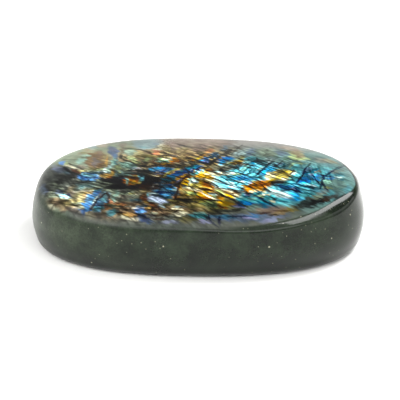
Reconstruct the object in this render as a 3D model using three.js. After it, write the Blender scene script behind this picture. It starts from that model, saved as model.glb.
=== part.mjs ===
import * as THREE from 'three';

// A polished palm stone of labradorite, ground from one piece of rock. Millimetres, +Z up.
// It lies on a flat ground base. The origin is at floor level, in the middle of its length and width.

// Length and width are those of the blank, before its edges are rounded over.
const LENGTH = 80;
const WIDTH = 54.2;
const HEIGHT = 17.2;

// Every outline is an oval between an ellipse, which would be 2 here, and a rectangle.
const SQUARENESS = 2.4;

// The domed face stands CROWN above its own edge, and falls a little towards the right end.
const CROWN = 1.4;
const FACE_EDGE_HEIGHT = HEIGHT - CROWN;
const FALL_TO_RIGHT = 0.008;

// A bevel runs along the front of the face, cut deepest just right of the middle of the front.
const BEVEL = {
  angle: THREE.MathUtils.degToRad(290),
  spread: THREE.MathUtils.degToRad(25),
};

// The corner at the front right was ground back further than the rest, in one direction.
const GROUND_BACK = {
  angle: THREE.MathUtils.degToRad(328),
  spread: THREE.MathUtils.degToRad(16),
  direction: THREE.MathUtils.degToRad(300),
};

// Outlines from the floor up, as insets from the blank's length and width.
// cutDown is how far the bevel lowers the outline. The ground corner takes it in by groundBack and
// lowers it by groundDown.
const LEVEL = { centreX: 0, cutDown: 0, groundBack: 0, groundDown: 0, fall: 0 };
const BASE = {
  ...LEVEL,
  halfLength: LENGTH / 2 - 1.7,
  halfWidth: WIDTH / 2 - 4.1,
  height: 0,
};
const BELLY = {
  ...LEVEL,
  halfLength: LENGTH / 2,
  halfWidth: WIDTH / 2,
  height: 7.3,
};
const RIM = {
  halfLength: LENGTH / 2 - 2,
  halfWidth: WIDTH / 2 - 0.25,
  centreX: 0.1,
  height: FACE_EDGE_HEIGHT - 0.6,
  cutDown: 1.8,
  groundBack: 0.7,
  groundDown: 1,
  fall: FALL_TO_RIGHT,
};
const FACE = {
  halfLength: LENGTH / 2 - 3.6,
  halfWidth: WIDTH / 2 - 1.9,
  centreX: 0.8,
  height: FACE_EDGE_HEIGHT,
  cutDown: 0.9,
  groundBack: 1.9,
  groundDown: 0,
  fall: FALL_TO_RIGHT,
};

// How far each edge is rounded over, measured along the surface from the edge.
// The bevel at the front right keeps two crisp edges.
const BASE_ROUNDING = 2.5;
const BELLY_ROUNDING = 4;
const RIM_ROUNDING = 0.6;
const FACE_ROUNDING = 1.3;
const WIDEST_ROUNDING = 0.49;

// Towards the left and the back the bevel's edges melt into one soft shoulder.
// It starts this far inside the face's edge, and ends this share of the way down from the rim to the belly.
const SHOULDER_ON_FACE = 7;
const SHOULDER_ON_WALL = 0.45;
const SOFT_LEFT = { from: -20, to: 12 };
const SOFT_BACK = { from: -5, to: 10 };

// The dome's slope at its edge is that towards the point this share of the way out from its middle.
const INNER_DOME_SHARE = 0.8;

// How finely the surface is cut into flat faces.
const AROUND = 96;
const DOME_RINGS = 8;
const EDGE_RINGS = 5;
const SHOULDER_RINGS = 2 * EDGE_RINGS + 1;

// A bell-shaped share, 1 at the angle of a cut and fading over its spread.
function nearness(angle, cut) {
  return Math.exp(-(((angle - cut.angle) / cut.spread) ** 2));
}

// The point of an outline at an angle round the stone, counted from the right end.
function outlinePoint(outline, angle) {
  const along = Math.cos(angle);
  const across = Math.sin(angle);
  const reach = (Math.abs(along) ** SQUARENESS + Math.abs(across) ** SQUARENESS) ** (-1 / SQUARENESS);
  const corner = nearness(angle, GROUND_BACK);
  const taken = outline.groundBack * corner;
  const x = outline.centreX + outline.halfLength * reach * along - taken * Math.cos(GROUND_BACK.direction);
  const y = outline.halfWidth * reach * across - taken * Math.sin(GROUND_BACK.direction);
  const lowered = outline.cutDown * nearness(angle, BEVEL) + outline.groundDown * corner;
  const z = outline.height - lowered - outline.fall * x;
  return new THREE.Vector3(x, y, z);
}

// The dome over the face: share 1 is the point given at its edge, and 0 is the middle of the face.
function domePoint(edge, share) {
  const low = share * share;
  return new THREE.Vector3(
    FACE.centreX + (edge.x - FACE.centreX) * share,
    edge.y * share,
    edge.z * low + HEIGHT * (1 - low),
  );
}

// How soft the bevel's edges are at a point of the belly: 0 at the front right, 1 at the left and the back.
function softness(point) {
  const { smoothstep } = THREE.MathUtils;
  const left = 1 - smoothstep(point.x, SOFT_LEFT.from, SOFT_LEFT.to);
  const back = smoothstep(point.y, SOFT_BACK.from, SOFT_BACK.to);
  return Math.max(left, back);
}

// The points of an edge rounded over between its neighbours above and below.
function roundedEdge(above, edge, below, rounding) {
  const towards = (other) => Math.min(rounding / edge.distanceTo(other), WIDEST_ROUNDING);
  const start = edge.clone().lerp(above, towards(above));
  const end = edge.clone().lerp(below, towards(below));
  return new THREE.QuadraticBezierCurve3(start, edge, end).getPoints(EDGE_RINGS);
}

// The points of the soft shoulder, from the dome over the face's edge and the rim to the wall.
function softShoulder(face, rim, belly) {
  const radius = Math.hypot(face.x - FACE.centreX, face.y);
  const start = domePoint(face, 1 - SHOULDER_ON_FACE / radius);
  const end = rim.clone().lerp(belly, SHOULDER_ON_WALL);
  return new THREE.CubicBezierCurve3(start, face, rim, end).getPoints(SHOULDER_RINGS);
}

// One line down the stone at an angle, from the middle of the face over the edges to the middle of the base.
function meridian(angle) {
  const [base, belly, rim, face] = [BASE, BELLY, RIM, FACE].map((outline) => outlinePoint(outline, angle));
  const crisp = [
    ...roundedEdge(domePoint(face, INNER_DOME_SHARE), face, rim, FACE_ROUNDING),
    ...roundedEdge(face, rim, belly, RIM_ROUNDING),
  ];
  const soft = softShoulder(face, rim, belly);
  const share = softness(belly);
  const shoulder = crisp.map((point, index) => point.lerp(soft[index], share));
  const dome = Array.from({ length: DOME_RINGS }, (_, ring) => domePoint(shoulder[0], ring / DOME_RINGS));
  const baseMiddle = new THREE.Vector3(0, 0, BASE.height);
  return [
    ...dome,
    ...shoulder,
    ...roundedEdge(rim, belly, base, BELLY_ROUNDING),
    ...roundedEdge(belly, base, baseMiddle, BASE_ROUNDING),
    baseMiddle,
  ];
}

// A ball whose meridians are laid on the stone's own.
function stoneGeometry() {
  const rings = meridian(0).length - 1;
  const geometry = new THREE.SphereGeometry(1, AROUND, rings);
  const position = geometry.getAttribute('position');
  for (let column = 0; column <= AROUND; column += 1) {
    const line = meridian(Math.PI + (2 * Math.PI * column) / AROUND);
    line.forEach((point, ring) => position.setXYZ(ring * (AROUND + 1) + column, point.x, point.y, point.z));
  }
  geometry.computeVertexNormals();
  return geometry;
}

// Dark grey-green feldspar, polished to a gloss all over.
const labradorite = new THREE.MeshStandardMaterial({ color: 0x4a4d45, roughness: 0.15, metalness: 0 });

const stone = new THREE.Mesh(stoneGeometry(), labradorite);
stone.name = 'labradorite_stone';

const part = new THREE.Group();
part.add(stone);

export default part;
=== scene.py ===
"""A polished labradorite palm stone on a pale floor, in metres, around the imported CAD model."""

import math

import bmesh
import bpy
from mathutils import Matrix, Vector


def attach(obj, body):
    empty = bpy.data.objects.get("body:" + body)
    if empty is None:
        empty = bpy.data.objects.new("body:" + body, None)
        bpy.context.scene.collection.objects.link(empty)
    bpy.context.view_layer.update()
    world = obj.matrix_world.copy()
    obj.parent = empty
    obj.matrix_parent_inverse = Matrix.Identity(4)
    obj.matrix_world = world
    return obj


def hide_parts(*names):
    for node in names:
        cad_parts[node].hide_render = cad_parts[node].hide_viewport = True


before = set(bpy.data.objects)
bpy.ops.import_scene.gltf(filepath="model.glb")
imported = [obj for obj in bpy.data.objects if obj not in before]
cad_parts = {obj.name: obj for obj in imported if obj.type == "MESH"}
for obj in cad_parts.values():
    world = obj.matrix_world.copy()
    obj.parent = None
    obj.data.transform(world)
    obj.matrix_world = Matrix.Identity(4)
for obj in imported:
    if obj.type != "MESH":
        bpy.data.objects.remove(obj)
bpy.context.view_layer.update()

MM = 0.001

# The stone's shape in millimetres: ovals stacked from the floor up, as insets from the blank.
LENGTH = 80
WIDTH = 54.2
HEIGHT = 17.2
SQUARENESS = 2.4
CROWN = 1.4
FACE_EDGE_HEIGHT = HEIGHT - CROWN
FALL_TO_RIGHT = 0.008

# The cuts of the bevel along the front and of the ground corner at the front right.
BEVEL = {"angle": math.radians(-70), "spread": math.radians(25)}
GROUND_BACK = {"angle": math.radians(-32), "spread": math.radians(16)}
GROUND_BACK_TURN = math.radians(-60)

LEVEL = {"centre_x": 0, "cut_down": 0, "ground_back": 0, "ground_down": 0, "fall": 0}
BASE = {**LEVEL, "half_length": LENGTH / 2 - 1.7, "half_width": WIDTH / 2 - 4.1, "height": 0}
BELLY = {**LEVEL, "half_length": LENGTH / 2, "half_width": WIDTH / 2, "height": 7.3}
RIM = {
    "half_length": LENGTH / 2 - 2,
    "half_width": WIDTH / 2 - 0.25,
    "centre_x": 0.1,
    "height": FACE_EDGE_HEIGHT - 0.6,
    "cut_down": 1.8,
    "ground_back": 0.7,
    "ground_down": 1,
    "fall": FALL_TO_RIGHT,
}
FACE = {
    "half_length": LENGTH / 2 - 3.6,
    "half_width": WIDTH / 2 - 1.9,
    "centre_x": 0.8,
    "height": FACE_EDGE_HEIGHT,
    "cut_down": 0.9,
    "ground_back": 1.9,
    "ground_down": 0,
    "fall": FALL_TO_RIGHT,
}

# How far the edges are rounded over, and where they melt into one soft shoulder.
BASE_ROUNDING = 2.5
BELLY_ROUNDING = 4
RIM_ROUNDING = 0.6
FACE_ROUNDING = 1.3
WIDEST_ROUNDING = 0.49
SHOULDER_ON_FACE = 7
SHOULDER_ON_WALL = 0.45
SOFT_LEFT = (-20, 12)
SOFT_BACK = (-5, 10)
INNER_DOME_SHARE = 0.8

# How finely the polished surface is modelled.
AROUND = 480
DOME_RINGS = 84
EDGE_RINGS = 12
WALL_RINGS = 18
BASE_MIDDLE_RINGS = 6

# The camera stands where the photograph was taken from, looking at a point of the stone.
CAMERA_TURN = math.radians(1.329)
CAMERA_RISE = math.radians(24)
CAMERA_DISTANCE = 450 * MM
CAMERA_LENS = 169.09
CAMERA_NEAREST = 20 * MM
AIM = Vector((0.417, 0.935, 9.078)) * MM

# The colours of the flash, and of the dull stone between.
COLOURS = {
    "black": "#0c0d0f",
    "soot": "#262a26",
    "ash": "#595e54",
    "taupe": "#6b6654",
    "dove": "#a9a79d",
    "beige": "#b09c86",
    "lichen": "#8b987f",
    "verdigris": "#6a8882",
    "fog": "#9ab2b0",
    "moss": "#3c5640",
    "olive": "#736b35",
    "lime": "#b3c68a",
    "sea": "#92c0ae",
    "straw": "#e6d78a",
    "cream": "#f0ebc6",
    "gold": "#bf9648",
    "tan": "#a08f66",
    "tangerine": "#e09a4c",
    "amber": "#c47a34",
    "copper": "#b5714c",
    "clay": "#7c684a",
    "rust": "#6f3c1a",
    "umber": "#33200f",
    "rose": "#8c7a6c",
    "mauve": "#686668",
    "lilac": "#8a8fae",
    "slate": "#57677e",
    "steel": "#4a7898",
    "ink": "#0a1634",
    "navy": "#123560",
    "blue": "#2565a0",
    "azure": "#4a92d6",
    "sky": "#74bdee",
    "cyan": "#92dcea",
    "ice": "#daf6f2",
    "frost": "#c8d8f0",
    "lagoon": "#62a4ac",
    "teal": "#36838c",
    "ocean": "#246280",
    "petrol": "#144756",
}

# The face's broad zones, then its patches, each laid as an oval, the later over the earlier.
# Millimetres and degrees: colour, middle x and y, half length, half width, turn, softness, strength.
# Softness is the share of its size over which an oval's edge fades, and strength how much it covers.
FLASH = {
    "broad zones under the patches": [
        ("dove", 0, 24, 36, 9, 0, 0.8, 1),
        ("lichen", -25, 12, 15, 10, 60, 0.6, 1),
        ("tan", -6, 8, 16, 9, 0, 0.6, 1),
        ("verdigris", 24, 5, 15, 9, -10, 0.6, 1),
        ("lichen", -26, -12, 14, 9, -30, 0.6, 1),
        ("gold", -1, -9, 12, 9, 0, 0.6, 1),
        ("cyan", 13, -3, 10, 8, 30, 0.6, 1),
        ("lagoon", 28, -4, 10, 9, 60, 0.6, 0.9),
        ("lagoon", 18, -12, 10, 5, 0, 0.6, 1),
        ("olive", 1, -18, 10, 5, 0, 0.6, 0.9),
        ("ash", 12, -22.5, 14, 4, 10, 0.5, 1),
        ("clay", -14, -20, 12, 5, 0, 0.6, 0.9),
        ("ash", -6, -26, 20, 3.4, 2, 0.6, 0.9),
    ],
    "dull stone at the left end": [
        ("ash", -33, -2, 12, 7, 95, 0.5, 1),
        ("soot", -33.5, -1, 7, 3.6, 98, 0.7, 0.6),
        ("slate", -36.2, -6.5, 2.6, 0.8, 108, 0.7, 0.7),
        ("lichen", -33, -7.3, 3, 0.7, -60, 0.7, 0.6),
        ("slate", -33.4, 2.6, 2.6, 1, 112, 0.8, 0.5),
        ("lilac", -34.8, 5.5, 2.6, 0.8, 112, 0.8, 0.45),
        ("lichen", -31.5, 12, 7, 4.4, 55, 0.5, 1),
        ("lichen", -30, 6.6, 4.2, 2.6, 100, 0.5, 0.9),
        ("sea", -28.5, 7, 1.7, 1.3, 90, 0.7, 0.7),
        ("olive", -27.3, 12.1, 2.2, 0.45, -4, 0.7, 0.8),
        ("moss", -27.4, 9.3, 1.5, 0.35, 0, 0.7, 0.7),
        ("sea", -27.2, 10.5, 1, 0.6, 0, 0.7, 0.6),
        ("tan", -27.3, 14.9, 2, 1.4, 90, 0.7, 0.6),
        ("rose", -29.1, 12, 1.7, 0.5, 90, 0.8, 0.4),
        ("fog", -26.6, 18, 3, 1.1, 95, 0.6, 0.8),
        ("beige", -24, 19, 3, 1.5, 90, 0.7, 0.6),
        ("azure", -33, 6.6, 1.6, 0.6, 115, 0.6, 0.75),
        ("lime", -31.9, 5.7, 1.5, 0.45, 114, 0.6, 0.7),
        ("cream", -30.5, 3.2, 2.2, 0.36, -42, 0.6, 1),
        ("umber", -31, 5.2, 0.7, 0.35, -50, 0.7, 0.8),
        ("soot", -29.3, 3.8, 1.4, 0.4, -40, 0.7, 0.7),
        ("rose", -28.2, 3.3, 1.7, 0.9, -50, 0.8, 0.6),
        ("rust", -29, 0.4, 1.5, 0.35, -38, 0.6, 0.8),
        ("black", -30.4, 0.2, 2, 0.5, -45, 0.7, 0.9),
        ("black", -31.9, 2.3, 1.6, 0.6, -60, 0.7, 0.8),
        ("mauve", -29.3, -2.1, 1.4, 0.6, -30, 0.8, 0.5),
        ("black", -29.5, -3.3, 0.9, 0.35, -20, 0.7, 0.8),
        ("petrol", -31, -0.5, 1.6, 0.6, -50, 0.8, 0.4),
    ],
    "the brown oval with its violet heart": [
        ("clay", -24.7, 7.2, 6.2, 2.6, 92, 0.3, 1),
        ("tan", -22.8, 6.6, 3.8, 0.5, 88, 0.7, 0.6),
        ("rust", -23.4, 3.8, 1.9, 0.9, 95, 0.8, 0.45),
        ("mauve", -24.9, 6, 2.8, 0.7, 92, 0.8, 0.7),
        ("rose", -24.3, 11.4, 1.6, 0.8, 90, 0.8, 0.5),
        ("olive", -25, 1.7, 2.4, 0.7, 0, 0.6, 0.6),
        ("lime", -23.7, 1, 2.1, 0.5, 10, 0.7, 0.6),
        ("straw", -27.2, 0.2, 1.2, 0.7, 20, 0.6, 0.65),
        ("umber", -26.4, 0.4, 0.5, 0.28, 80, 0.6, 0.8),
        ("rust", -28.1, 0.8, 0.7, 0.4, 0, 0.7, 0.7),
    ],
    "the strip between the brown oval and the hatched patch": [
        ("sea", -20.7, 4.6, 3.8, 0.6, 82, 0.6, 0.95),
        ("ice", -21.6, 2.5, 1.9, 0.5, 68, 0.7, 0.7),
        ("teal", -19.8, 5.4, 1.7, 0.5, 85, 0.7, 0.7),
        ("slate", -20.9, 12.5, 4.4, 1.2, 106, 0.5, 1),
        ("mauve", -21.4, 14.2, 1.8, 0.6, 106, 0.8, 0.5),
        ("steel", -20, 8.9, 1.7, 0.6, 85, 0.7, 0.5),
        ("taupe", -18.6, 13.4, 3, 0.8, 95, 0.6, 0.8),
        ("rose", -19, 17.6, 1.9, 1, 90, 0.8, 0.6),
        ("lichen", -20.9, 18.6, 2.4, 1, 90, 0.8, 0.5),
    ],
    "the pale spot and the bright blue patch": [
        ("petrol", -24, -0.9, 3.1, 0.55, 0, 0.6, 0.95),
        ("ice", -22.6, -0.35, 1.2, 0.42, -5, 0.5, 1),
        ("azure", -25.8, -3.2, 2.5, 2.1, -35, 0.3, 1),
        ("cyan", -25.9, -2, 2, 0.5, -20, 0.6, 0.9),
        ("blue", -26.8, -3.9, 1.5, 0.7, 100, 0.5, 0.95),
        ("navy", -26.1, -3, 0.55, 0.3, 95, 0.6, 0.9),
        ("petrol", -24.9, -3.7, 0.5, 0.22, 0, 0.7, 0.8),
        ("sky", -24.5, -5, 1.3, 0.45, 100, 0.5, 0.9),
        ("navy", -25.7, -5.4, 1.1, 0.4, -20, 0.6, 0.85),
        ("cyan", -23.3, -4, 0.6, 0.45, 0, 0.7, 0.7),
    ],
    "gold and olive right of it": [
        ("olive", -20.1, -0.6, 2, 0.6, 95, 0.6, 0.85),
        ("gold", -21.6, -2.7, 1.9, 1.3, 20, 0.5, 0.95),
        ("amber", -20.9, -3.4, 0.85, 0.85, 0, 0.5, 0.95),
        ("rust", -21.4, -4.4, 1, 0.3, -20, 0.7, 0.8),
        ("lime", -19.2, 2, 1.7, 0.75, 100, 0.6, 0.85),
        ("lime", -18.5, -1.2, 0.5, 0.4, 0, 0.6, 0.8),
    ],
    "the hatched green patch": [
        ("sea", -16.9, 3.2, 2.6, 1.8, -50, 0.4, 0.95),
        ("lichen", -17.3, 0.5, 1.5, 0.8, -60, 0.6, 0.8),
        ("sea", -16.4, 11.6, 2.6, 1.5, 110, 0.6, 0.6),
        ("lime", -16.2, 7.7, 2, 1.1, 115, 0.6, 0.85),
        ("lime", -15.1, 5.2, 1.1, 0.6, -50, 0.6, 0.75),
        ("straw", -14.8, 11, 2, 1, 60, 0.7, 0.45),
        ("olive", -12.4, 9, 3.8, 0.9, -3, 0.6, 0.9),
        ("umber", -13.4, 8.4, 0.9, 0.35, 0, 0.7, 0.7),
        ("lime", -12.7, 6.9, 1.6, 0.8, 80, 0.6, 0.8),
        ("cream", -13.4, 5.3, 0.7, 0.35, -50, 0.7, 0.6),
        ("black", -17.9, 8.2, 0.5, 0.35, 0, 0.6, 0.85),
        ("umber", -12.2, 11.3, 1.5, 0.32, -55, 0.7, 0.7),
    ],
    "the grey-blue and rosy back left": [
        ("fog", -12.9, 18.8, 5, 3.7, 90, 0.3, 1),
        ("teal", -13.7, 15.7, 1.7, 0.45, -30, 0.8, 0.5),
        ("slate", -10.6, 18, 1.7, 0.9, 90, 0.8, 0.35),
        ("tan", -9, 14, 4, 2.2, 65, 0.5, 0.9),
        ("cream", -9.3, 17.6, 3.6, 0.45, 76, 0.8, 0.6),
        ("cream", -10.2, 14, 1.1, 0.45, 40, 0.7, 0.7),
        ("copper", -10.3, 11.8, 1.7, 1.3, 90, 0.5, 0.85),
        ("tan", -11.9, 12.6, 1.2, 0.6, -30, 0.7, 0.8),
        ("rose", -6.3, 15.4, 3.8, 1, 96, 0.6, 0.8),
        ("umber", -8.6, 11.4, 1.7, 0.3, -38, 0.7, 0.75),
        ("beige", -1, 20.5, 8.5, 4.6, 0, 0.5, 0.85),
        ("tan", -4.8, 12.6, 2.4, 1.6, 80, 0.6, 0.8),
        ("olive", -3.5, 12.8, 2.6, 0.6, 80, 0.8, 0.5),
        ("rose", 0.4, 15, 3.4, 1.8, 76, 0.7, 0.7),
        ("umber", -4.1, 17, 2.5, 0.28, -42, 0.8, 0.5),
    ],
    "green eye behind the middle": [
        ("clay", -3.6, 6, 2.6, 2.8, 90, 0.5, 0.9),
        ("taupe", -4.2, 3.4, 2.8, 2, 0, 0.6, 0.8),
        ("clay", -2.5, 9.7, 2, 1.6, 90, 0.5, 0.9),
        ("tan", -4.8, 9.6, 1.4, 0.8, 100, 0.6, 0.8),
        ("rust", -10.2, 5.5, 1.8, 0.8, 90, 0.6, 0.7),
        ("sea", -8, 6.3, 2.4, 1.6, 0, 0.5, 1),
        ("lime", -8.3, 7, 2, 0.9, 10, 0.6, 0.8),
        ("cream", -7, 7.4, 1.5, 0.6, 0, 0.6, 0.9),
        ("moss", -8, 5.7, 1, 0.35, 0, 0.7, 0.6),
        ("olive", -8.8, 4.8, 1.2, 0.5, 0, 0.7, 0.7),
        ("gold", -8, 3.7, 1.7, 0.6, 0, 0.6, 0.9),
        ("amber", -5.8, 6.1, 1.7, 1, 80, 0.6, 0.95),
        ("rust", -5.5, 4.7, 0.8, 0.5, 0, 0.7, 0.8),
        ("rust", -9, 3.2, 0.8, 0.35, 0, 0.7, 0.8),
        ("dove", -6.2, 9.6, 0.9, 0.4, 0, 0.6, 0.8),
        ("cream", -2.2, 4.7, 1.2, 0.6, 0, 0.6, 0.75),
        ("lime", -0.8, 3.7, 0.8, 0.5, 0, 0.7, 0.8),
        ("rust", -1.3, 6.5, 1, 0.45, 85, 0.6, 0.8),
    ],
    "beige back, with blue glints in front of it": [
        ("rose", 4.7, 17, 2.4, 1.8, 90, 0.8, 0.6),
        ("tan", 3.3, 15, 2.2, 1.4, 90, 0.8, 0.6),
        ("copper", 2.5, 13.4, 1.6, 1.2, 90, 0.7, 0.6),
        ("navy", 1.4, 5, 1.6, 0.9, -10, 0.6, 0.9),
        ("blue", 1.5, 6.6, 1.5, 1.1, 60, 0.5, 0.85),
        ("lilac", 1.5, 5.6, 0.8, 0.4, 0, 0.7, 0.8),
        ("sky", 0.4, 6.3, 0.6, 0.4, 0, 0.6, 0.8),
        ("ocean", 3.2, 9.7, 2.5, 1.2, 72, 0.5, 0.9),
        ("taupe", 7.2, 13, 4.8, 1.5, 62, 0.6, 0.8),
        ("ocean", 6.2, 15.2, 2.2, 0.7, 75, 0.7, 0.55),
        ("blue", 6.6, 7.3, 2.2, 1.6, 40, 0.5, 0.9),
        ("teal", 7.9, 6.6, 1.2, 0.6, 50, 0.7, 0.7),
        ("sky", 5.7, 5, 1.3, 0.9, 50, 0.6, 0.9),
        ("lime", 7.6, 4.3, 1.3, 0.6, 40, 0.6, 0.9),
        ("gold", 9.4, 5.1, 1.8, 1, 60, 0.6, 0.85),
        ("clay", 10.5, 4, 1, 0.7, 0, 0.7, 0.8),
        ("fog", 9.8, 12, 2.6, 1.3, 60, 0.7, 0.7),
        ("olive", 10.4, 8.3, 2, 0.9, 80, 0.7, 0.7),
        ("slate", 12.7, 12.8, 3, 1.2, 78, 0.7, 0.7),
        ("lichen", 16.5, 13, 3.2, 2.4, 90, 0.7, 0.7),
        ("soot", 16.3, 12, 0.9, 0.5, 30, 0.9, 0.5),
        ("soot", 16.6, 14.5, 1, 0.5, 30, 0.9, 0.45),
    ],
    "black stone left of the middle, and the amber eye in it": [
        ("black", -16.4, -6.6, 6.2, 4.6, 5, 0.35, 1),
        ("black", -10.6, -6.2, 3, 2.8, -20, 0.5, 1),
        ("umber", -7.6, -5.6, 1.6, 1.6, 50, 0.6, 0.85),
        ("black", -11.9, 2.9, 2.9, 0.7, 2, 0.5, 0.95),
        ("black", -14.4, 0, 2.6, 0.8, 0, 0.5, 0.95),
        ("black", -21.7, -5.6, 2.6, 0.7, -25, 0.6, 0.8),
        ("black", -17, -12, 1.5, 0.7, 0, 0.6, 0.9),
        ("lichen", -21.5, -7.6, 1.6, 1, 0, 0.6, 0.7),
        ("dove", -17.5, -11.2, 0.9, 0.4, 0, 0.6, 0.65),
        ("amber", -15.4, -5.6, 2.8, 1.8, 84, 0.4, 1),
        ("rust", -15.7, -4.6, 1.3, 0.6, 85, 0.7, 0.7),
        ("gold", -15.3, -6.5, 1.1, 0.7, 80, 0.6, 0.8),
        ("umber", -15.4, -4, 1, 0.5, 0, 0.6, 0.9),
        ("olive", -14.8, -7.5, 1, 0.6, 0, 0.7, 0.8),
        ("cyan", -13.2, -4.3, 1.9, 0.7, 100, 0.6, 0.95),
        ("lime", -13.6, -6.4, 0.8, 0.45, 0, 0.6, 0.8),
        ("slate", -17.7, -4.4, 1, 0.5, 0, 0.7, 0.8),
        ("rose", -14.2, -1.2, 1.3, 0.5, -30, 0.7, 0.65),
        ("lilac", -15, 1.5, 1.4, 0.5, 0, 0.7, 0.6),
    ],
    "blue lens": [
        ("steel", -9.2, 0.4, 3.3, 1.8, 0, 0.3, 1),
        ("slate", -8.8, -0.2, 1.9, 0.7, 5, 0.7, 0.8),
        ("azure", -9.8, 1, 1.4, 0.4, 5, 0.7, 0.3),
        ("navy", -9.5, -1.1, 1.5, 0.4, 10, 0.6, 0.9),
        ("steel", -7.2, 0.4, 0.8, 0.6, 60, 0.6, 0.7),
        ("lilac", -9, -2.3, 1.7, 0.5, -5, 0.6, 0.8),
    ],
    "blue band that runs up to the back": [
        ("teal", -0.6, -1.8, 1.6, 0.8, 30, 0.6, 0.9),
        ("petrol", -6.4, -4.9, 2.6, 1.8, 55, 0.5, 1),
        ("blue", -5.2, -2.6, 1.9, 1, 48, 0.6, 0.95),
        ("navy", -3.2, -0.6, 3.2, 1.9, 42, 0.5, 1),
        ("blue", -1, 1.6, 2.4, 1.3, 45, 0.6, 0.95),
        ("ink", -0.6, 0.8, 1.7, 0.6, 40, 0.6, 0.95),
        ("lilac", -1.6, 0.2, 0.8, 0.3, 30, 0.7, 0.6),
        ("teal", -1.7, 2, 1.6, 0.7, 40, 0.6, 0.9),
        ("sky", 0.1, 0, 0.7, 0.3, 60, 0.6, 0.9),
        ("cyan", 1, -0.6, 1, 0.4, 80, 0.6, 0.8),
        ("moss", -4.2, -0.1, 0.6, 0.45, 0, 0.7, 0.7),
        ("tan", -3.3, 2.4, 1.1, 0.45, 20, 0.7, 0.8),
    ],
    "gold field in the middle": [
        ("rust", -2.9, -4.3, 1.5, 0.7, 20, 0.6, 0.9),
        ("gold", -3, -6.3, 1.3, 0.5, 80, 0.6, 0.9),
        ("gold", -2.2, -5, 1, 0.5, 0, 0.6, 0.9),
        ("sea", -0.7, -5.5, 1.6, 1.1, 0, 0.5, 0.95),
        ("ice", -1.3, -7, 2, 0.9, 80, 0.5, 0.95),
        ("straw", 0.2, -8.6, 2.8, 1.2, -20, 0.5, 1),
        ("petrol", -2.7, -8.7, 1, 0.7, 0, 0.6, 0.9),
        ("sea", -2.7, -9.8, 0.8, 0.4, 0, 0.6, 0.9),
        ("olive", 0.8, -2.6, 1.1, 0.8, 0, 0.6, 0.9),
        ("straw", 1.7, -1.6, 1.5, 0.9, 60, 0.6, 0.95),
        ("rust", 2.7, -0.2, 1.1, 0.7, 30, 0.6, 0.9),
        ("tangerine", 2.7, 1, 0.9, 0.5, 20, 0.7, 0.8),
        ("taupe", 5.7, 1.6, 3.4, 1.6, 8, 0.5, 0.9),
        ("umber", 2.3, -3.1, 1.2, 0.35, -10, 0.7, 0.8),
        ("cream", 5.6, -1.8, 3, 1.1, 8, 0.5, 1),
        ("ice", 6.7, -1.5, 1.3, 0.6, 10, 0.6, 0.9),
        ("lime", 9.1, -1.7, 1.1, 0.7, 0, 0.7, 0.8),
        ("olive", 3, -4.7, 1.6, 0.8, -25, 0.6, 0.8),
        ("gold", 1.6, -6.8, 2, 0.8, -35, 0.6, 0.95),
        ("gold", 2, -3.6, 2.4, 1, -35, 0.6, 0.9),
        ("ice", 5.8, -6.8, 2.9, 1.4, -42, 0.5, 1),
        ("amber", 2.6, -8.2, 1.8, 1.1, -30, 0.5, 0.95),
        ("cream", -0.5, -10.6, 2.2, 0.8, -25, 0.6, 0.9),
        ("tan", -3, -11.4, 1.8, 0.9, 80, 0.5, 0.95),
        ("lime", -1.5, -12.5, 1.4, 0.8, -20, 0.6, 0.9),
        ("moss", -0.5, -12.3, 0.8, 0.5, 0, 0.7, 0.8),
        ("tangerine", -4.5, -14.4, 0.9, 0.6, 0, 0.7, 0.7),
        ("tan", -2.4, -14.3, 2.2, 0.7, 0, 0.6, 0.9),
        ("rust", 2, -10.4, 2.1, 0.5, -8, 0.6, 0.9),
        ("rust", 1.8, -14.4, 2, 0.8, -15, 0.5, 0.9),
        ("tan", 6.6, -12.4, 3.6, 2.4, -20, 0.6, 0.9),
        ("fog", 4, -12.8, 1.2, 0.7, -40, 0.6, 0.9),
        ("lime", 5.3, -11.3, 1.4, 0.7, -40, 0.6, 0.9),
        ("gold", 7.6, -13.2, 1.6, 0.6, -40, 0.6, 0.9),
        ("moss", 4.3, -14, 0.9, 0.6, 0, 0.7, 0.8),
        ("clay", 8, -11.3, 2.2, 1.1, -20, 0.6, 0.85),
        ("cream", 7.5, -10.9, 0.6, 0.3, -30, 0.7, 0.7),
        ("cream", 8.6, -12.6, 1, 0.4, -20, 0.6, 0.8),
        ("umber", 6.3, -13.5, 0.7, 0.4, 0, 0.6, 0.85),
        ("amber", 5.7, -14.3, 0.7, 0.5, 0, 0.7, 0.85),
    ],
    "cyan and azure right of the middle": [
        ("cyan", 8.4, -6.6, 4.4, 3.4, 0, 0.5, 0.95),
        ("lagoon", 7.3, -3.6, 2.6, 0.9, 0, 0.6, 0.9),
        ("sky", 8.8, -4.4, 1.2, 0.7, 0, 0.6, 0.9),
        ("steel", 10.3, -4.3, 1.7, 1.1, 30, 0.5, 1),
        ("steel", 12.5, -4.5, 1.8, 1, 20, 0.6, 0.9),
        ("ice", 10.2, -5.7, 1, 0.6, 0, 0.6, 0.9),
        ("petrol", 8.6, -6.1, 0.7, 0.5, 0, 0.7, 0.85),
        ("ocean", 7.4, -5.2, 0.9, 0.5, 0, 0.7, 0.8),
        ("ice", 7.7, -7.1, 1.6, 0.7, -30, 0.6, 0.8),
        ("teal", 9.5, -8.3, 1, 0.4, 80, 0.6, 0.85),
        ("ice", 8.6, -8.7, 1, 0.6, -30, 0.6, 0.8),
        ("lilac", 12.2, -6.2, 1, 0.6, 0, 0.7, 0.8),
        ("lime", 13.5, -5.9, 0.8, 0.5, 0, 0.7, 0.8),
    ],
    "orange patch": [
        ("tangerine", 14.4, -7.8, 4.6, 2, 42, 0.4, 1),
        ("amber", 15.3, -6.4, 1.5, 1, 40, 0.7, 0.8),
        ("rust", 14.9, -7.8, 1.9, 0.6, 30, 0.7, 0.9),
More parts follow.
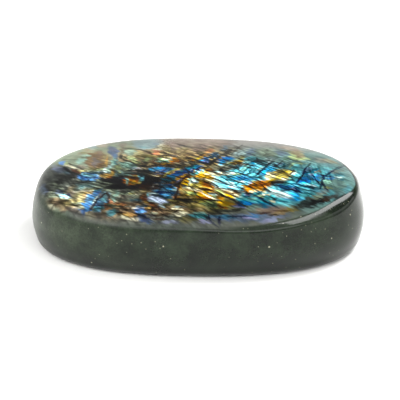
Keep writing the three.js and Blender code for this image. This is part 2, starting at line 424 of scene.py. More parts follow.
        ("amber", 12.5, -9.7, 1.3, 0.8, 40, 0.7, 0.8),
        ("gold", 16, -9.6, 1.7, 1, 40, 0.6, 0.85),
        ("umber", 18.4, -6, 2.2, 1.1, 30, 0.5, 0.95),
        ("olive", 17.4, -4.8, 1.4, 0.6, 40, 0.7, 0.8),
        ("olive", 11.4, -8.4, 1.2, 0.4, 60, 0.7, 0.8),
        ("cream", 13, -10.5, 1.1, 0.5, 35, 0.6, 0.9),
        ("cream", 15.8, -11.8, 1.1, 0.4, 25, 0.6, 0.9),
    ],
    "cyan stripes and the teal cells behind them": [
        ("cyan", 12.6, 1.1, 3.6, 2.5, 60, 0.45, 1),
        ("sea", 11, 1.6, 2.4, 0.8, 70, 0.6, 0.7),
        ("sky", 16.3, 1, 2.9, 1.1, 60, 0.5, 0.95),
        ("slate", 18.9, 5, 2, 0.8, 60, 0.6, 0.8),
        ("lagoon", 12.8, 8, 2, 1.3, 20, 0.6, 0.9),
        ("ocean", 13.3, 5.6, 1.7, 0.7, 30, 0.6, 0.9),
        ("fog", 17.3, 8, 1.7, 1.3, 50, 0.6, 0.9),
        ("moss", 21.3, 9, 1.1, 0.7, 0, 0.7, 0.7),
    ],
    "straw lozenge": [
        ("straw", 19.3, -1, 4.2, 2.5, 42, 0.35, 1),
        ("cream", 17.1, -2.2, 1.8, 0.9, 60, 0.6, 0.95),
        ("gold", 20.6, 0.6, 1.4, 0.5, 55, 0.7, 0.6),
        ("sea", 21.7, -2.5, 1.3, 0.5, 60, 0.6, 0.9),
        ("cream", 20, -3.8, 1.7, 0.6, 10, 0.6, 0.95),
        ("ice", 22.7, 0.2, 1.5, 0.5, 80, 0.6, 0.95),
        ("cyan", 24, -0.2, 1.9, 0.6, 80, 0.6, 0.9),
        ("lime", 22.4, 5.2, 1.8, 1, 70, 0.6, 0.6),
        ("lagoon", 23, 4.6, 1.9, 1, 80, 0.6, 0.8),
    ],
    "cells at the right end": [
        ("slate", 26.2, 2.6, 2.2, 1, 70, 0.6, 0.9),
        ("ocean", 26, 0, 1.8, 0.9, 80, 0.6, 0.95),
        ("steel", 25.8, -2.4, 2.6, 1.2, 70, 0.5, 1),
        ("azure", 24.8, -4.2, 2, 1.2, 60, 0.5, 0.95),
        ("black", 30.2, 0, 1.1, 0.6, 10, 0.6, 0.9),
        ("sky", 28.3, -1.5, 1.9, 0.9, 65, 0.5, 0.95),
        ("lilac", 27.4, -0.4, 0.9, 0.5, 60, 0.7, 0.8),
        ("petrol", 27.8, 2.4, 2.2, 1.2, 50, 0.6, 0.85),
        ("clay", 28.8, 2.3, 1.1, 0.4, 60, 0.7, 0.6),
        ("verdigris", 32.2, -3.9, 4.3, 2.7, 78, 0.4, 1),
        ("sea", 30.5, -3.5, 2, 0.7, 85, 0.6, 0.9),
        ("sea", 29.3, -3.4, 1.5, 0.4, 75, 0.6, 0.9),
        ("blue", 31, -1.5, 1.4, 0.5, 20, 0.7, 0.7),
        ("lime", 30.3, -6.8, 0.9, 0.7, 0, 0.7, 0.8),
        ("petrol", 32.2, 1.6, 2.6, 1.5, 45, 0.5, 0.55),
        ("ice", 33.8, -0.2, 1, 0.4, 20, 0.6, 0.85),
        ("petrol", 34.1, -1.6, 1.2, 0.6, 30, 0.7, 0.7),
        ("ash", 33.3, -8.7, 2, 1.3, 70, 0.8, 0.6),
        ("clay", 33.4, 3.7, 2.4, 1.1, 55, 0.7, 0.45),
        ("verdigris", 36, 0, 7, 1.4, 95, 0.6, 0.8),
    ],
    "cyan and navy bands at the lower right": [
        ("cyan", 20.3, -10, 4, 3, -20, 0.5, 1),
        ("cyan", 25.6, -7.4, 4, 2.2, -18, 0.5, 0.9),
        ("ice", 26.5, -6.4, 1.4, 0.6, -10, 0.6, 0.8),
        ("navy", 21.4, -8.2, 3, 1.5, -20, 0.5, 0.95),
        ("ink", 22.5, -9.6, 2, 0.5, -25, 0.6, 0.9),
        ("petrol", 25, -6.6, 4.4, 0.6, -12, 0.6, 0.95),
        ("steel", 22.2, -8, 1.3, 0.8, 0, 0.6, 0.9),
        ("lilac", 22.5, -8.5, 0.6, 0.4, 0, 0.7, 0.8),
        ("ink", 23.2, -9.2, 1.3, 0.5, 80, 0.6, 0.9),
        ("sky", 21.8, -12.2, 3, 1.9, -20, 0.5, 1),
        ("ice", 19.2, -11.4, 2.8, 1.5, -30, 0.6, 1),
        ("azure", 23.2, -12.6, 1.6, 0.6, 80, 0.6, 0.7),
        ("lagoon", 25.8, -11.6, 3, 1.2, 20, 0.6, 0.9),
    ],
    "teal and blue in front of them": [
        ("lagoon", 17.2, -13.5, 2, 1, 80, 0.6, 0.9),
        ("lime", 14.6, -13, 1, 0.7, 0, 0.7, 0.8),
        ("lagoon", 11.2, -14.5, 2.8, 1.1, -5, 0.6, 0.95),
        ("sea", 12.6, -14.2, 1, 0.5, 0, 0.7, 0.8),
        ("lilac", 12, -12.5, 1.1, 0.4, -20, 0.6, 0.8),
        ("petrol", 11.3, -13, 1, 0.35, -20, 0.7, 0.8),
        ("blue", 11.5, -16.1, 2, 0.9, -20, 0.5, 0.95),
        ("azure", 11.2, -16.7, 1, 0.4, -20, 0.6, 0.8),
        ("navy", 9.2, -17.3, 1.5, 1, -20, 0.6, 0.95),
        ("lilac", 9.8, -18.3, 1, 0.5, 0, 0.7, 0.7),
        ("ocean", 15.5, -16.9, 2.2, 1.1, -35, 0.6, 0.8),
        ("umber", 14, -16.9, 1, 0.6, 0, 0.8, 0.6),
        ("cream", 17.6, -15.5, 0.9, 0.4, -30, 0.6, 0.8),
    ],
    "gold and green at the front": [
        ("lime", 4, -16.8, 2.3, 0.8, -10, 0.6, 0.9),
        ("moss", 3, -17.9, 2.6, 1, 0, 0.6, 0.8),
        ("gold", 6.6, -16.9, 2.2, 0.9, -10, 0.7, 0.8),
        ("rust", 5.4, -17.7, 0.8, 0.4, -20, 0.7, 0.8),
        ("rust", 6.4, -18.5, 0.9, 0.4, -20, 0.7, 0.8),
        ("lime", 1.8, -19.3, 1.7, 0.6, 0, 0.6, 0.8),
        ("tan", -0.8, -19.7, 3.4, 2.3, 0, 0.6, 0.85),
        ("olive", -0.4, -18.6, 2.2, 0.7, 5, 0.8, 0.6),
        ("clay", -1.6, -20.3, 1.9, 0.45, 0, 0.7, 0.8),
        ("soot", -1.8, -16.6, 2.5, 0.7, 0, 0.6, 0.85),
        ("fog", -4, -19, 1.4, 0.6, 0, 0.6, 0.8),
        ("cream", -4, -20.3, 1.2, 0.4, 0, 0.6, 0.85),
        ("cream", -3.6, -22.2, 2, 0.7, 5, 0.6, 0.85),
        ("olive", -2, -24, 2.4, 1, 0, 0.7, 0.7),
        ("teal", 0.8, -22.7, 1.9, 1.2, 0, 0.6, 0.9),
        ("sea", 0.8, -21.4, 1.2, 0.5, 0, 0.7, 0.8),
        ("ink", 2.6, -23.3, 1, 0.6, 0, 0.7, 0.8),
        ("lilac", 2, -24.6, 1.4, 0.5, 0, 0.7, 0.8),
    ],
    "slate band along the bevel": [
        ("slate", 12.4, -22.3, 8, 1.8, 9, 0.6, 0.75),
        ("ocean", 6, -22.7, 2.7, 0.9, 4, 0.6, 0.7),
        ("steel", 13.2, -21.6, 1.6, 0.6, 10, 0.7, 0.8),
        ("lilac", 12.5, -22.8, 1.6, 0.5, 10, 0.7, 0.8),
        ("lilac", 17, -22.9, 2.6, 0.8, 20, 0.7, 0.6),
        ("ash", 9, -25, 7, 0.9, 5, 0.7, 0.7),
        ("rose", 17, -18.8, 3.2, 1.4, 18, 0.7, 0.75),
        ("clay", 19.6, -19.5, 3.2, 1, 30, 0.7, 0.8),
        ("olive", 22.2, -18, 1.8, 1, 40, 0.7, 0.7),
        ("soot", 26.4, -14.6, 5.4, 2, 42, 0.5, 0.95),
        ("black", 28, -14.2, 2.4, 0.9, 40, 0.6, 0.9),
        ("umber", 31, -11.6, 2.6, 1, 50, 0.6, 0.85),
        ("lichen", 28.2, -11, 2.4, 1, 55, 0.8, 0.6),
        ("rose", 29.2, -8.8, 1.8, 1, 60, 0.8, 0.5),
    ],
    "dull back right": [
        ("tan", 24, 12.5, 3.8, 1.7, 100, 0.6, 0.75),
        ("lime", 22.5, 11.4, 1.7, 0.7, 90, 0.7, 0.7),
        ("lime", 24.7, 9.8, 2.1, 1, 10, 0.7, 0.7),
        ("lime", 24.5, 6.7, 1.6, 0.5, 10, 0.7, 0.5),
        ("slate", 20, 12.6, 2.3, 1.3, 90, 0.8, 0.6),
        ("beige", 22, 17, 3, 1.4, -20, 0.8, 0.6),
        ("olive", 21.5, 14.5, 1.3, 0.7, 0, 0.8, 0.5),
        ("tan", 31.3, 10, 1.8, 1.2, -50, 0.8, 0.5),
        ("rose", 29.3, 9.6, 1.8, 1.3, -50, 0.8, 0.4),
    ],
    "lower left": [
        ("lichen", -33.2, -11.6, 2.4, 1, -62, 0.7, 0.8),
        ("slate", -32.2, -10.7, 1.7, 0.7, -50, 0.7, 0.7),
        ("beige", -28.8, -12.2, 1.9, 1, -60, 0.7, 0.8),
        ("tan", -29.2, -9.5, 2.1, 0.9, 80, 0.8, 0.45),
        ("cyan", -30.8, -12.9, 1.4, 0.7, -35, 0.6, 0.85),
        ("ice", -29.7, -14, 0.9, 0.4, -35, 0.6, 0.8),
        ("straw", -28, -15.4, 2.2, 0.8, -28, 0.5, 0.95),
        ("verdigris", -26.2, -8.1, 2.5, 2.2, 90, 0.6, 0.8),
        ("lagoon", -26.3, -8.5, 1.1, 0.8, 0, 0.8, 0.5),
        ("fog", -25.4, -9.1, 1, 0.4, 0, 0.7, 0.7),
        ("straw", -25.7, -12.9, 2.7, 2, 80, 0.7, 0.8),
        ("gold", -25.2, -12.5, 1.6, 1, 80, 0.8, 0.7),
        ("cream", -25.3, -11, 2.4, 0.6, 0, 0.6, 0.85),
        ("tan", -26, -14.6, 1.8, 1, -30, 0.7, 0.8),
        ("straw", -24.9, -16, 1.1, 0.6, -30, 0.6, 0.8),
        ("lime", -23.7, -10.7, 0.9, 0.5, 0, 0.6, 0.8),
        ("clay", -30.8, -15.8, 5.4, 1.2, -43, 0.5, 0.9),
        ("olive", -30, -15.9, 1.9, 0.6, -30, 0.7, 0.6),
        ("tan", -29, -17.7, 2.1, 0.7, -38, 0.7, 0.7),
        ("mauve", -27.7, -19.2, 2.6, 0.8, -36, 0.7, 0.6),
    ],
    "blue crescent and the tall oval beside it": [
        ("azure", -23.2, -12.6, 2.6, 1, 65, 0.5, 1),
        ("sky", -24.5, -15.9, 3.2, 1.1, 80, 0.5, 1),
        ("blue", -25.1, -18.7, 2, 1, 75, 0.5, 0.95),
        ("teal", -22.6, -11, 0.9, 0.6, 0, 0.6, 0.8),
        ("azure", -24, -14.2, 1.4, 0.6, 65, 0.7, 0.8),
        ("sky", -25.3, -16, 1.4, 0.4, 80, 0.6, 0.8),
        ("steel", -21.8, -16.2, 4.4, 1.8, 76, 0.35, 1),
        ("lagoon", -21.4, -15, 2.6, 0.7, 80, 0.6, 0.8),
        ("rose", -22.5, -14, 1.2, 0.4, 60, 0.7, 0.7),
        ("sky", -22.3, -17, 1.1, 0.7, 0, 0.6, 0.75),
        ("teal", -22.4, -19.6, 1.7, 0.7, 0, 0.6, 0.75),
        ("amber", -19.9, -16.3, 1.3, 0.5, 85, 0.7, 0.7),
        ("rust", -20.1, -18.8, 1.2, 0.5, 80, 0.7, 0.8),
        ("tangerine", -19.9, -20.1, 0.9, 0.5, 0, 0.6, 0.8),
    ],
    "grey-green and brown in front of the black stone": [
        ("lichen", -16.8, -14.6, 4.3, 2.2, -15, 0.6, 0.7),
        ("sea", -18.8, -14, 2.6, 0.6, 85, 0.7, 0.7),
        ("beige", -17, -14.4, 1.6, 1, 0, 0.8, 0.6),
        ("ash", -15.5, -15.2, 2, 1.4, 0, 0.8, 0.7),
        ("petrol", -14.2, -16.6, 1.5, 0.9, 0, 0.6, 0.85),
        ("olive", -14.5, -13, 1.3, 0.5, 0, 0.7, 0.8),
        ("cream", -13.3, -13.3, 0.9, 0.5, 0, 0.6, 0.8),
        ("clay", -16.2, -19.6, 4, 2.8, 0, 0.6, 0.8),
        ("rust", -18.4, -17.5, 1.5, 0.5, -20, 0.7, 0.8),
        ("tangerine", -17.3, -18.1, 1.2, 0.5, -20, 0.6, 0.8),
        ("moss", -18.8, -18.6, 1.2, 0.6, 0, 0.7, 0.8),
        ("teal", -19, -21.3, 1.5, 1, 0, 0.6, 0.85),
        ("cream", -15.2, -19.3, 1, 0.4, -15, 0.6, 0.8),
        ("cream", -13.9, -19.9, 0.8, 0.4, 0, 0.6, 0.8),
        ("gold", -15, -22.3, 2.1, 0.6, 0, 0.6, 0.9),
        ("cream", -15, -23.4, 2.6, 0.5, -5, 0.6, 0.45),
        ("petrol", -12.3, -19.2, 1.3, 0.8, 0, 0.6, 0.85),
        ("frost", -12.6, -20.2, 1.4, 0.6, 0, 0.6, 0.9),
        ("azure", -12.3, -21.2, 1.6, 1.1, 0, 0.5, 0.95),
        ("navy", -12.3, -22.9, 1.1, 0.5, 0, 0.6, 0.9),
        ("navy", -11.5, -24.2, 2, 0.6, -26, 0.7, 0.8),
    ],
    "striped blue, and the brown in front of it": [
        ("ocean", -7.7, -11.6, 3.4, 4.2, 0, 0.5, 0.9),
        ("navy", -6, -8.4, 1.5, 0.7, 0, 0.6, 0.9),
        ("sky", -6.2, -10.4, 1.6, 0.6, 0, 0.7, 0.7),
        ("navy", -7.9, -12.4, 2.2, 0.7, 0, 0.6, 0.9),
        ("petrol", -7.5, -14.7, 2.2, 0.5, -5, 0.6, 0.9),
        ("ink", -9, -14, 1.2, 0.4, 0, 0.7, 0.8),
        ("ice", -10.2, -13, 1, 0.6, 0, 0.6, 0.9),
        ("ocean", -10.2, -15.1, 1.4, 0.6, 0, 0.6, 0.8),
        ("cyan", -11.3, -14.6, 1.5, 0.4, 85, 0.6, 0.9),
        ("umber", -10.9, -9.6, 2.6, 2, 0, 0.5, 0.9),
        ("dove", -9.5, -8.4, 0.7, 0.3, 0, 0.6, 0.7),
        ("dove", -10.7, -9.2, 0.6, 0.3, 0, 0.6, 0.7),
        ("fog", -5.1, -8.7, 0.8, 0.4, 0, 0.6, 0.8),
        ("fog", -5.2, -11.2, 0.7, 0.5, 0, 0.6, 0.8),
        ("fog", -5.2, -12.9, 0.6, 0.4, 0, 0.6, 0.8),
        ("frost", -9, -16, 2.6, 1.3, -25, 0.5, 1),
        ("frost", -7.8, -17.7, 1.2, 0.7, 60, 0.6, 0.8),
        ("lime", -6.5, -18, 0.9, 0.7, 0, 0.6, 0.9),
        ("straw", -5.5, -16.4, 1.2, 0.4, -10, 0.6, 0.95),
        ("tan", -5.6, -18.4, 1.3, 0.8, 80, 0.7, 0.7),
        ("clay", -8.2, -21.3, 2.9, 2.1, 0, 0.5, 0.9),
        ("gold", -10.5, -20, 0.9, 0.8, 0, 0.7, 0.8),
        ("petrol", -8, -19.4, 1, 0.4, 0, 0.7, 0.85),
        ("mauve", -10, -23, 1.2, 0.6, 0, 0.7, 0.7),
        ("lichen", -9.3, -22.2, 0.9, 0.5, 0, 0.7, 0.6),
        ("lilac", -6, -25, 1.8, 0.5, 0, 0.7, 0.6),
    ],
}

# Cleavage cracks and thin bright lines over the patches, each laid from end to end.
# Millimetres: colour, x and y of one end, x and y of the other, half width, strength.
CRACKS = {
    "at the left end": [
        ("cream", -31.8, 4.7, -28.8, 1.8, 0.35, 0.9),
        ("black", -32.2, 3.4, -30.3, -0.2, 0.35, 0.8),
        ("rust", -29.6, 0.6, -28, -0.6, 0.3, 0.8),
        ("soot", -35.5, -9.5, -33, -11, 0.4, 0.7),
        ("soot", -36, 2, -34.6, -3, 0.35, 0.6),
        ("soot", -34, -1, -32.5, -6.5, 0.35, 0.6),
        ("soot", -31, -5, -28.6, -8.6, 0.3, 0.6),
        ("soot", -33, 9, -29, 8, 0.3, 0.4),
        ("cream", -34.2, -14, -33, -15.9, 0.35, 0.8),
        ("navy", -30, -12.2, -29.1, -13.1, 0.35, 0.9),
        ("umber", -28.5, -17, -26.4, -17.9, 0.35, 0.8),
        ("olive", -25.6, -10, -23.4, -10.2, 0.3, 0.8),
        ("gold", -22.4, 9.4, -22.2, 2.6, 0.3, 0.7),
        ("black", -27.9, -1.9, -23.4, -1.1, 0.3, 0.7),
        ("navy", -27.6, -3.1, -24, -4.1, 0.25, 0.7),
        ("black", -24.2, -6, -20, -8.2, 0.5, 0.9),
        ("black", -28.3, -6.5, -24, -5.8, 0.35, 0.8),
        ("black", -23.5, -3.4, -20.5, -5.6, 0.35, 0.85),
        ("black", -23.9, -9.6, -20, -9.9, 0.35, 0.7),
        ("gold", -20.2, 0.4, -20.2, -2.2, 0.3, 0.8),
    ],
    "round the tall oval and the amber eye": [
        ("ice", -22.9, -13.8, -23.9, -17.2, 0.22, 0.9),
        ("umber", -24.3, -20, -22.9, -15.8, 0.35, 0.85),
        ("umber", -22.9, -15.8, -21, -12, 0.35, 0.85),
        ("umber", -21, -12, -20.2, -14.6, 0.35, 0.85),
        ("umber", -20.2, -14.6, -20.3, -17.4, 0.3, 0.8),
        ("ink", -23.3, -18.3, -20.5, -18.3, 0.3, 0.85),
        ("black", -17.8, -1.5, -14.2, -2.2, 0.3, 0.8),
        ("sea", -16.9, -4.8, -16.3, -7.7, 0.35, 0.9),
        ("sea", -16.9, -2.4, -15.4, -3.1, 0.3, 0.85),
        ("lime", -15.4, -3.1, -14, -3.2, 0.25, 0.8),
        ("umber", -16, -6.9, -14.2, -6.8, 0.25, 0.7),
        ("black", -11, -1.5, -7, -1.5, 0.28, 0.9),
        ("clay", -12, -1.6, -10.2, -3.4, 0.45, 0.85),
        ("gold", -10.4, -2.9, -8, -3.6, 0.4, 0.9),
        ("olive", -8.4, -3.6, -6.6, -2.2, 0.35, 0.9),
        ("olive", -6.8, -1.8, -5.2, 1.4, 0.28, 0.85),
        ("cream", -11.2, -2.6, -8.8, -3.6, 0.28, 0.85),
        ("lime", -7.6, -2.6, -5.6, 0.6, 0.2, 0.7),
        ("olive", -4.8, 1.2, -2.9, 2.4, 0.28, 0.85),
        ("black", -9.8, 2.4, -6.8, 2.4, 0.28, 0.85),
    ],
    "behind the middle": [
        ("umber", -10.2, 9.7, -7.2, 9, 0.35, 0.9),
        ("umber", -7.2, 9, -4.4, 8, 0.35, 0.9),
        ("umber", -3.2, 8.2, -1.8, 6.6, 0.35, 0.85),
        ("umber", -0.9, 11, 1, 10.4, 0.3, 0.8),
        ("gold", 1.8, 11, -0.6, 7, 0.4, 0.8),
        ("soot", -5.6, 18.1, -1.8, 15.4, 0.45, 0.6),
        ("soot", 2.2, 3.4, 3.8, 6.6, 0.5, 0.9),
        ("soot", 3.6, 6.2, 4.8, 8.6, 0.5, 0.9),
        ("soot", 4.7, 8.4, 8.2, 15, 0.5, 0.7),
        ("soot", 8, 11.2, 10.2, 18.2, 0.35, 0.55),
        ("ice", 6.6, 4.4, 8.2, 6.5, 0.22, 0.8),
        ("umber", 9.3, 4.9, 10.3, 4.5, 0.4, 0.8),
    ],
    "across the middle": [
        ("lilac", -3.8, -4.9, -4.8, -7.2, 0.45, 0.85),
        ("umber", -3.4, -4.8, -4.3, -8.6, 0.3, 0.9),
        ("umber", -4.3, -8.4, -4.4, -12.2, 0.3, 0.9),
        ("umber", -4.4, -12, -5.1, -15.6, 0.3, 0.9),
        ("umber", -3.6, -4.2, -1.6, -4.4, 0.35, 0.85),
        ("umber", -1.9, -9.2, -1, -9.5, 0.35, 0.8),
        ("cream", 1.1, -4.6, 5.1, -6.6, 0.35, 0.9),
        ("umber", 1.3, -5.9, 4.3, -8.3, 0.35, 0.9),
        ("umber", 4.2, -8.1, 5.2, -9.9, 0.35, 0.9),
        ("umber", 5, -9.7, 9, -10.3, 0.35, 0.9),
        ("umber", 8.6, -10.2, 10.7, -10.9, 0.35, 0.85),
        ("rust", -0.4, -6.6, 2, -7.9, 0.22, 0.8),
        ("rust", 0.2, -9.6, 3.8, -10.6, 0.3, 0.85),
        ("cream", 1.4, -12.2, 3.6, -14.6, 0.3, 0.9),
        ("cream", 3.5, -14.5, 5, -15.3, 0.3, 0.85),
        ("black", 2.4, -12, 4, -12.3, 0.3, 0.85),
        ("umber", 4.4, -11.1, 6.4, -13.2, 0.3, 0.85),
        ("black", -5.2, -15.3, -1.8, -15.8, 0.45, 0.95),
        ("black", -2, -15.7, 1, -15.1, 0.4, 0.9),
        ("black", 0.6, -15.1, 5.2, -15.7, 0.4, 0.95),
        ("black", 7.2, -13.9, 9.4, -16, 0.45, 0.9),
        ("black", 9, -15.7, 12, -18, 0.45, 0.9),
        ("umber", 3.3, 0, 6.2, 0.1, 0.3, 0.85),
        ("umber", 5.9, 0.1, 9.9, -0.9, 0.3, 0.85),
        ("navy", 9.9, -1.1, 11, -2.7, 0.28, 0.9),
        ("navy", 10.8, -2.6, 13.8, -3.5, 0.28, 0.9),
    ],
    "across the cyan": [
        ("black", 9.8, -6.6, 11.3, -6.8, 0.35, 0.9),
        ("black", 11.7, -6.8, 12.9, -7, 0.3, 0.8),
        ("gold", 16.3, -5.1, 18.6, -4.2, 0.4, 0.85),
        ("black", 17.6, -5.7, 19.1, -5.7, 0.45, 0.9),
        ("black", 17.1, -7.2, 19.3, -7.2, 0.4, 0.85),
        ("teal", 10.6, -1, 12.4, 2.9, 0.22, 0.8),
        ("teal", 11.6, -1.6, 13.4, 2.6, 0.2, 0.8),
        ("teal", 12.7, -1.3, 14, 1.8, 0.2, 0.8),
        ("ice", 14.1, 0.9, 15.4, 3.1, 0.22, 0.9),
        ("ink", 13.4, -2.8, 14.6, -0.4, 0.35, 0.9),
        ("ink", 14.4, -0.7, 16.1, 3.3, 0.35, 0.9),
        ("ink", 15.9, 2.9, 17.4, 6.3, 0.35, 0.85),
        ("ice", 16.7, 5.8, 17.5, 8.3, 0.25, 0.8),
        ("soot", 20.1, 7.6, 18.2, 3.3, 0.3, 0.8),
        ("petrol", 11.4, 7.8, 12.8, 7.2, 0.4, 0.8),
        ("cream", 15.9, -2.9, 17.2, -0.3, 0.25, 0.9),
    ],
    "at the right end": [
        ("umber", 22.7, 2.5, 22.2, 0.7, 0.3, 0.9),
        ("umber", 22.2, 0.9, 21.6, -0.5, 0.3, 0.9),
        ("petrol", 20.3, 3.4, 20.6, 5.7, 0.35, 0.85),
        ("ink", 25.9, 4.7, 25.2, 2.7, 0.3, 0.9),
        ("ink", 25.3, 3, 24.7, -0.2, 0.3, 0.9),
        ("ink", 24.8, 0.1, 23.9, -3.3, 0.3, 0.9),
        ("ink", 24, -3, 23.1, -5.4, 0.3, 0.9),
        ("ink", 27.1, 0.2, 28, -3.1, 0.28, 0.9),
        ("ink", 27.9, -2.9, 29.1, -5.2, 0.28, 0.9),
        ("black", 28.9, 0.2, 30.7, 0, 0.35, 0.9),
        ("ink", 29.9, -0.2, 32.2, 3.4, 0.38, 0.85),
        ("ink", 32, 3.1, 35.2, 8.8, 0.4, 0.6),
        ("ink", 30.1, 0.2, 29.4, -3.2, 0.3, 0.9),
        ("ink", 29.4, -3, 29.7, -5.4, 0.3, 0.9),
        ("ink", 29.6, -5.2, 30.4, -8, 0.3, 0.85),
        ("ink", 29.4, -4.8, 28.8, -7.3, 0.25, 0.8),
        ("navy", 30.4, 0, 33.2, -0.6, 0.28, 0.8),
        ("soot", 27, 7.4, 26.1, 4.7, 0.3, 0.7),
        ("petrol", 21.2, -5.8, 23.6, -6, 0.4, 0.9),
        ("petrol", 24.2, -6.9, 28.8, -8, 0.4, 0.85),
        ("petrol", 25.2, -8.5, 27.8, -9.6, 0.35, 0.85),
        ("petrol", 23.8, -10.2, 27, -11, 0.35, 0.8),
    ],
    "in front of the middle": [
        ("ink", 18.8, -14.8, 20.9, -15.1, 0.3, 0.85),
        ("ink", 13.3, -12.6, 15.2, -14.4, 0.5, 0.9),
        ("ink", 15, -14.2, 18.2, -17.2, 0.5, 0.9),
        ("black", 17, -13.1, 17.8, -14.4, 0.4, 0.85),
        ("black", 11.5, -11.7, 13.2, -12, 0.4, 0.9),
        ("rust", -12.3, -13.6, -12, -16, 0.7, 0.9),
        ("rust", -12.1, -15.8, -9, -19.3, 0.75, 0.9),
        ("gold", -11.9, -16.9, -11, -17.8, 0.4, 0.85),
        ("ice", -11, -16.5, -9.4, -17, 0.3, 0.9),
        ("ice", -8, -18.4, -7.4, -19.2, 0.4, 0.85),
        ("sky", -8.4, -13.4, -5.8, -13.9, 0.25, 0.9),
        ("umber", -16.7, -19.3, -15.6, -20.8, 0.45, 0.85),
        ("umber", -17.6, -21.6, -16, -21.8, 0.4, 0.8),
        ("black", -13.6, -22.2, -12.8, -22.5, 0.4, 0.8),
        ("black", -10, -21.2, -10, -19.5, 0.25, 0.85),
        ("umber", -9.9, -23.8, -6.9, -24.4, 0.35, 0.85),
        ("umber", -9, -20.6, -6.6, -21, 0.25, 0.7),
        ("umber", -4.6, -20.9, -2.9, -21.1, 0.25, 0.8),
    ],
    "along the front": [
        ("soot", 4.3, -19.9, 7.4, -20.1, 0.6, 0.85),
        ("soot", 7, -20.1, 10.4, -19, 0.6, 0.85),
        ("ink", 5.4, -22.3, 5.3, -25.2, 0.25, 0.8),
        ("ink", 2.8, -21.8, 3.3, -24.1, 0.22, 0.8),
        ("ink", 3.2, -23.9, 5, -26, 0.22, 0.7),
        ("ink", 7.2, -22.3, 12.4, -21.8, 0.35, 0.75),
        ("umber", 14.5, -20.4, 16.8, -20, 0.4, 0.8),
        ("umber", 17, -19.3, 21.3, -18.9, 0.35, 0.7),
        ("black", 17.2, -21.1, 18.8, -20.9, 0.3, 0.8),
        ("black", 27.9, -13.2, 28.9, -13.5, 0.35, 0.7),
        ("black", 28.2, -15.1, 29.2, -15, 0.35, 0.7),
        ("black", 24.6, -15.5, 26.5, -15.5, 0.4, 0.75),
        ("black", 25.2, -17, 26.9, -16.9, 0.4, 0.7),
        ("soot", 36.2, -7.6, 34.2, -10.2, 0.5, 0.7),
        ("soot", 34.4, -9.8, 31.8, -13, 0.5, 0.7),
    ],
    "in the upper left": [
        ("soot", -19.1, 10.2, -18.7, 8.2, 0.35, 0.85),
        ("soot", -18.6, 8.4, -17, 5.6, 0.32, 0.85),
        ("soot", -17, 5.9, -14.8, 3.3, 0.32, 0.85),
        ("soot", -15, 3.6, -13.4, 2.2, 0.35, 0.85),
        ("moss", -18.6, 5.8, -15.4, 2.2, 0.2, 0.75),
        ("moss", -19, 4.6, -16.4, 1.4, 0.2, 0.75),
        ("moss", -17.4, 8.2, -14.6, 5.2, 0.2, 0.65),
        ("soot", -13.8, 6.2, -11.8, 3.4, 0.32, 0.85),
        ("moss", -17.8, 15.1, -14.8, 13.8, 0.45, 0.8),
        ("soot", -15, 13.9, -12.4, 11.9, 0.35, 0.8),
        ("umber", -12.6, 12.2, -11.2, 9.8, 0.32, 0.8),
        ("umber", -9.4, 12.8, -7.3, 10.2, 0.35, 0.75),
    ],
}

# The edge of a crack fades over its own half width.
CRACK_SOFTNESS = 1

# Uneven growth moves the marks to and fro in swells, each within the last.
# The size of a swell, and how far it moves them.
CALM_SWELLS = [(5, 1.2)]
PATCH_SWELLS = [(2.86, 1.6), (0.91, 0.6)]
CRACK_SWELLS = [(3.33, 1.4), (0.625, 0.6)]

# Patches end in flames along the layers: turn, length and width of the layers, and reach.
FLAMES = (-36, 9, 1.1, 4)

# Fine lamellae, seen edge on, cut the flash into darker and brighter stripes.
# The real ones are far finer, and these are as coarse as they need to be to show.
LAMELLA_LENGTH = 10
LAMELLA_WIDTH = 0.8

# Their directions: the first over the whole face, the others in ovals of it.
# Turn in degrees, then middle x and y, half length and half width of the oval.
LAMELLAE = [
    (-38,),
    (64, 12, 1, 7, 6),
    (0, -8, -12, 4.5, 5),
    (-50, -17, 6, 5, 6),
    (98, 29, 0, 7, 10),
    (-5, 14, -22, 16, 4),
    (112, -34, -3, 9, 15),
    (-6, -13, -21, 15, 6),
]

# Where the lamellae, the mottle and the hairline cracks show: middle x and y, half sizes, strength.
LIVELY_ZONES = [
    (4, -2, 38, 23, 1),
    (-24, -9, 22, 18, 0.9),
    (-9, -18, 28, 11, 0.9),
]

# Zones where the flash is darker or brighter than laid: middle x and y, half sizes, brightness there.
BRIGHTNESS_ZONES = [
    (-11, -10, 21, 12, 0.5),
    (8, -25, 30, 11, 0.65),
    (-12, 2, 14, 9, 0.75),
    (31, -12, 12, 10, 0.6),
    (-29, -10.5, 9, 5, 1.5),
    (-26, -23, 9, 5, 0.5),
    (-10, -22, 22, 7, 0.85),
    (-25, -14.5, 6, 6, 1.5),
    (-9.5, -15.5, 4, 3.5, 1.6),
    (-12.6, -21, 3.4, 3.4, 1.5),
    (3, -6, 9, 13, 1.3),
    (0.5, -9.5, 6, 8, 1.4),
    (0, 27, 44, 17, 0.55),
    (-38, 0, 16, 26, 0.9),
]

# Where the colours of the flash are at their strongest: middle x and y, half sizes.
VIVID_ZONE = (9, -4, 34, 22)

# A zone comes in fully over this share of its size, from its edge.
ZONE_EDGE = 0.5

# Hairline cracks: turn in degrees, length and width of the stone between them, brightness left in them.
HAIRLINES = [
    (-34, 14, 2, 0.15),
    (-48, 9, 2.8, 0.25),
    (57, 8, 5, 0.35),
]

# A hairline runs where its streaks cross a half. It is darkest up to the first step away from that,
# and fades out by the second. The detail is how finely it breaks up.
HAIRLINE_CORE = 0.015
HAIRLINE_EDGE = 0.06
HAIRLINE_DETAIL = 1

# Uneven brightness along the layers: turn, length and width of its streaks, and how finely they break up.
MOTTLE = (-34, 3.4, 0.8, 3)

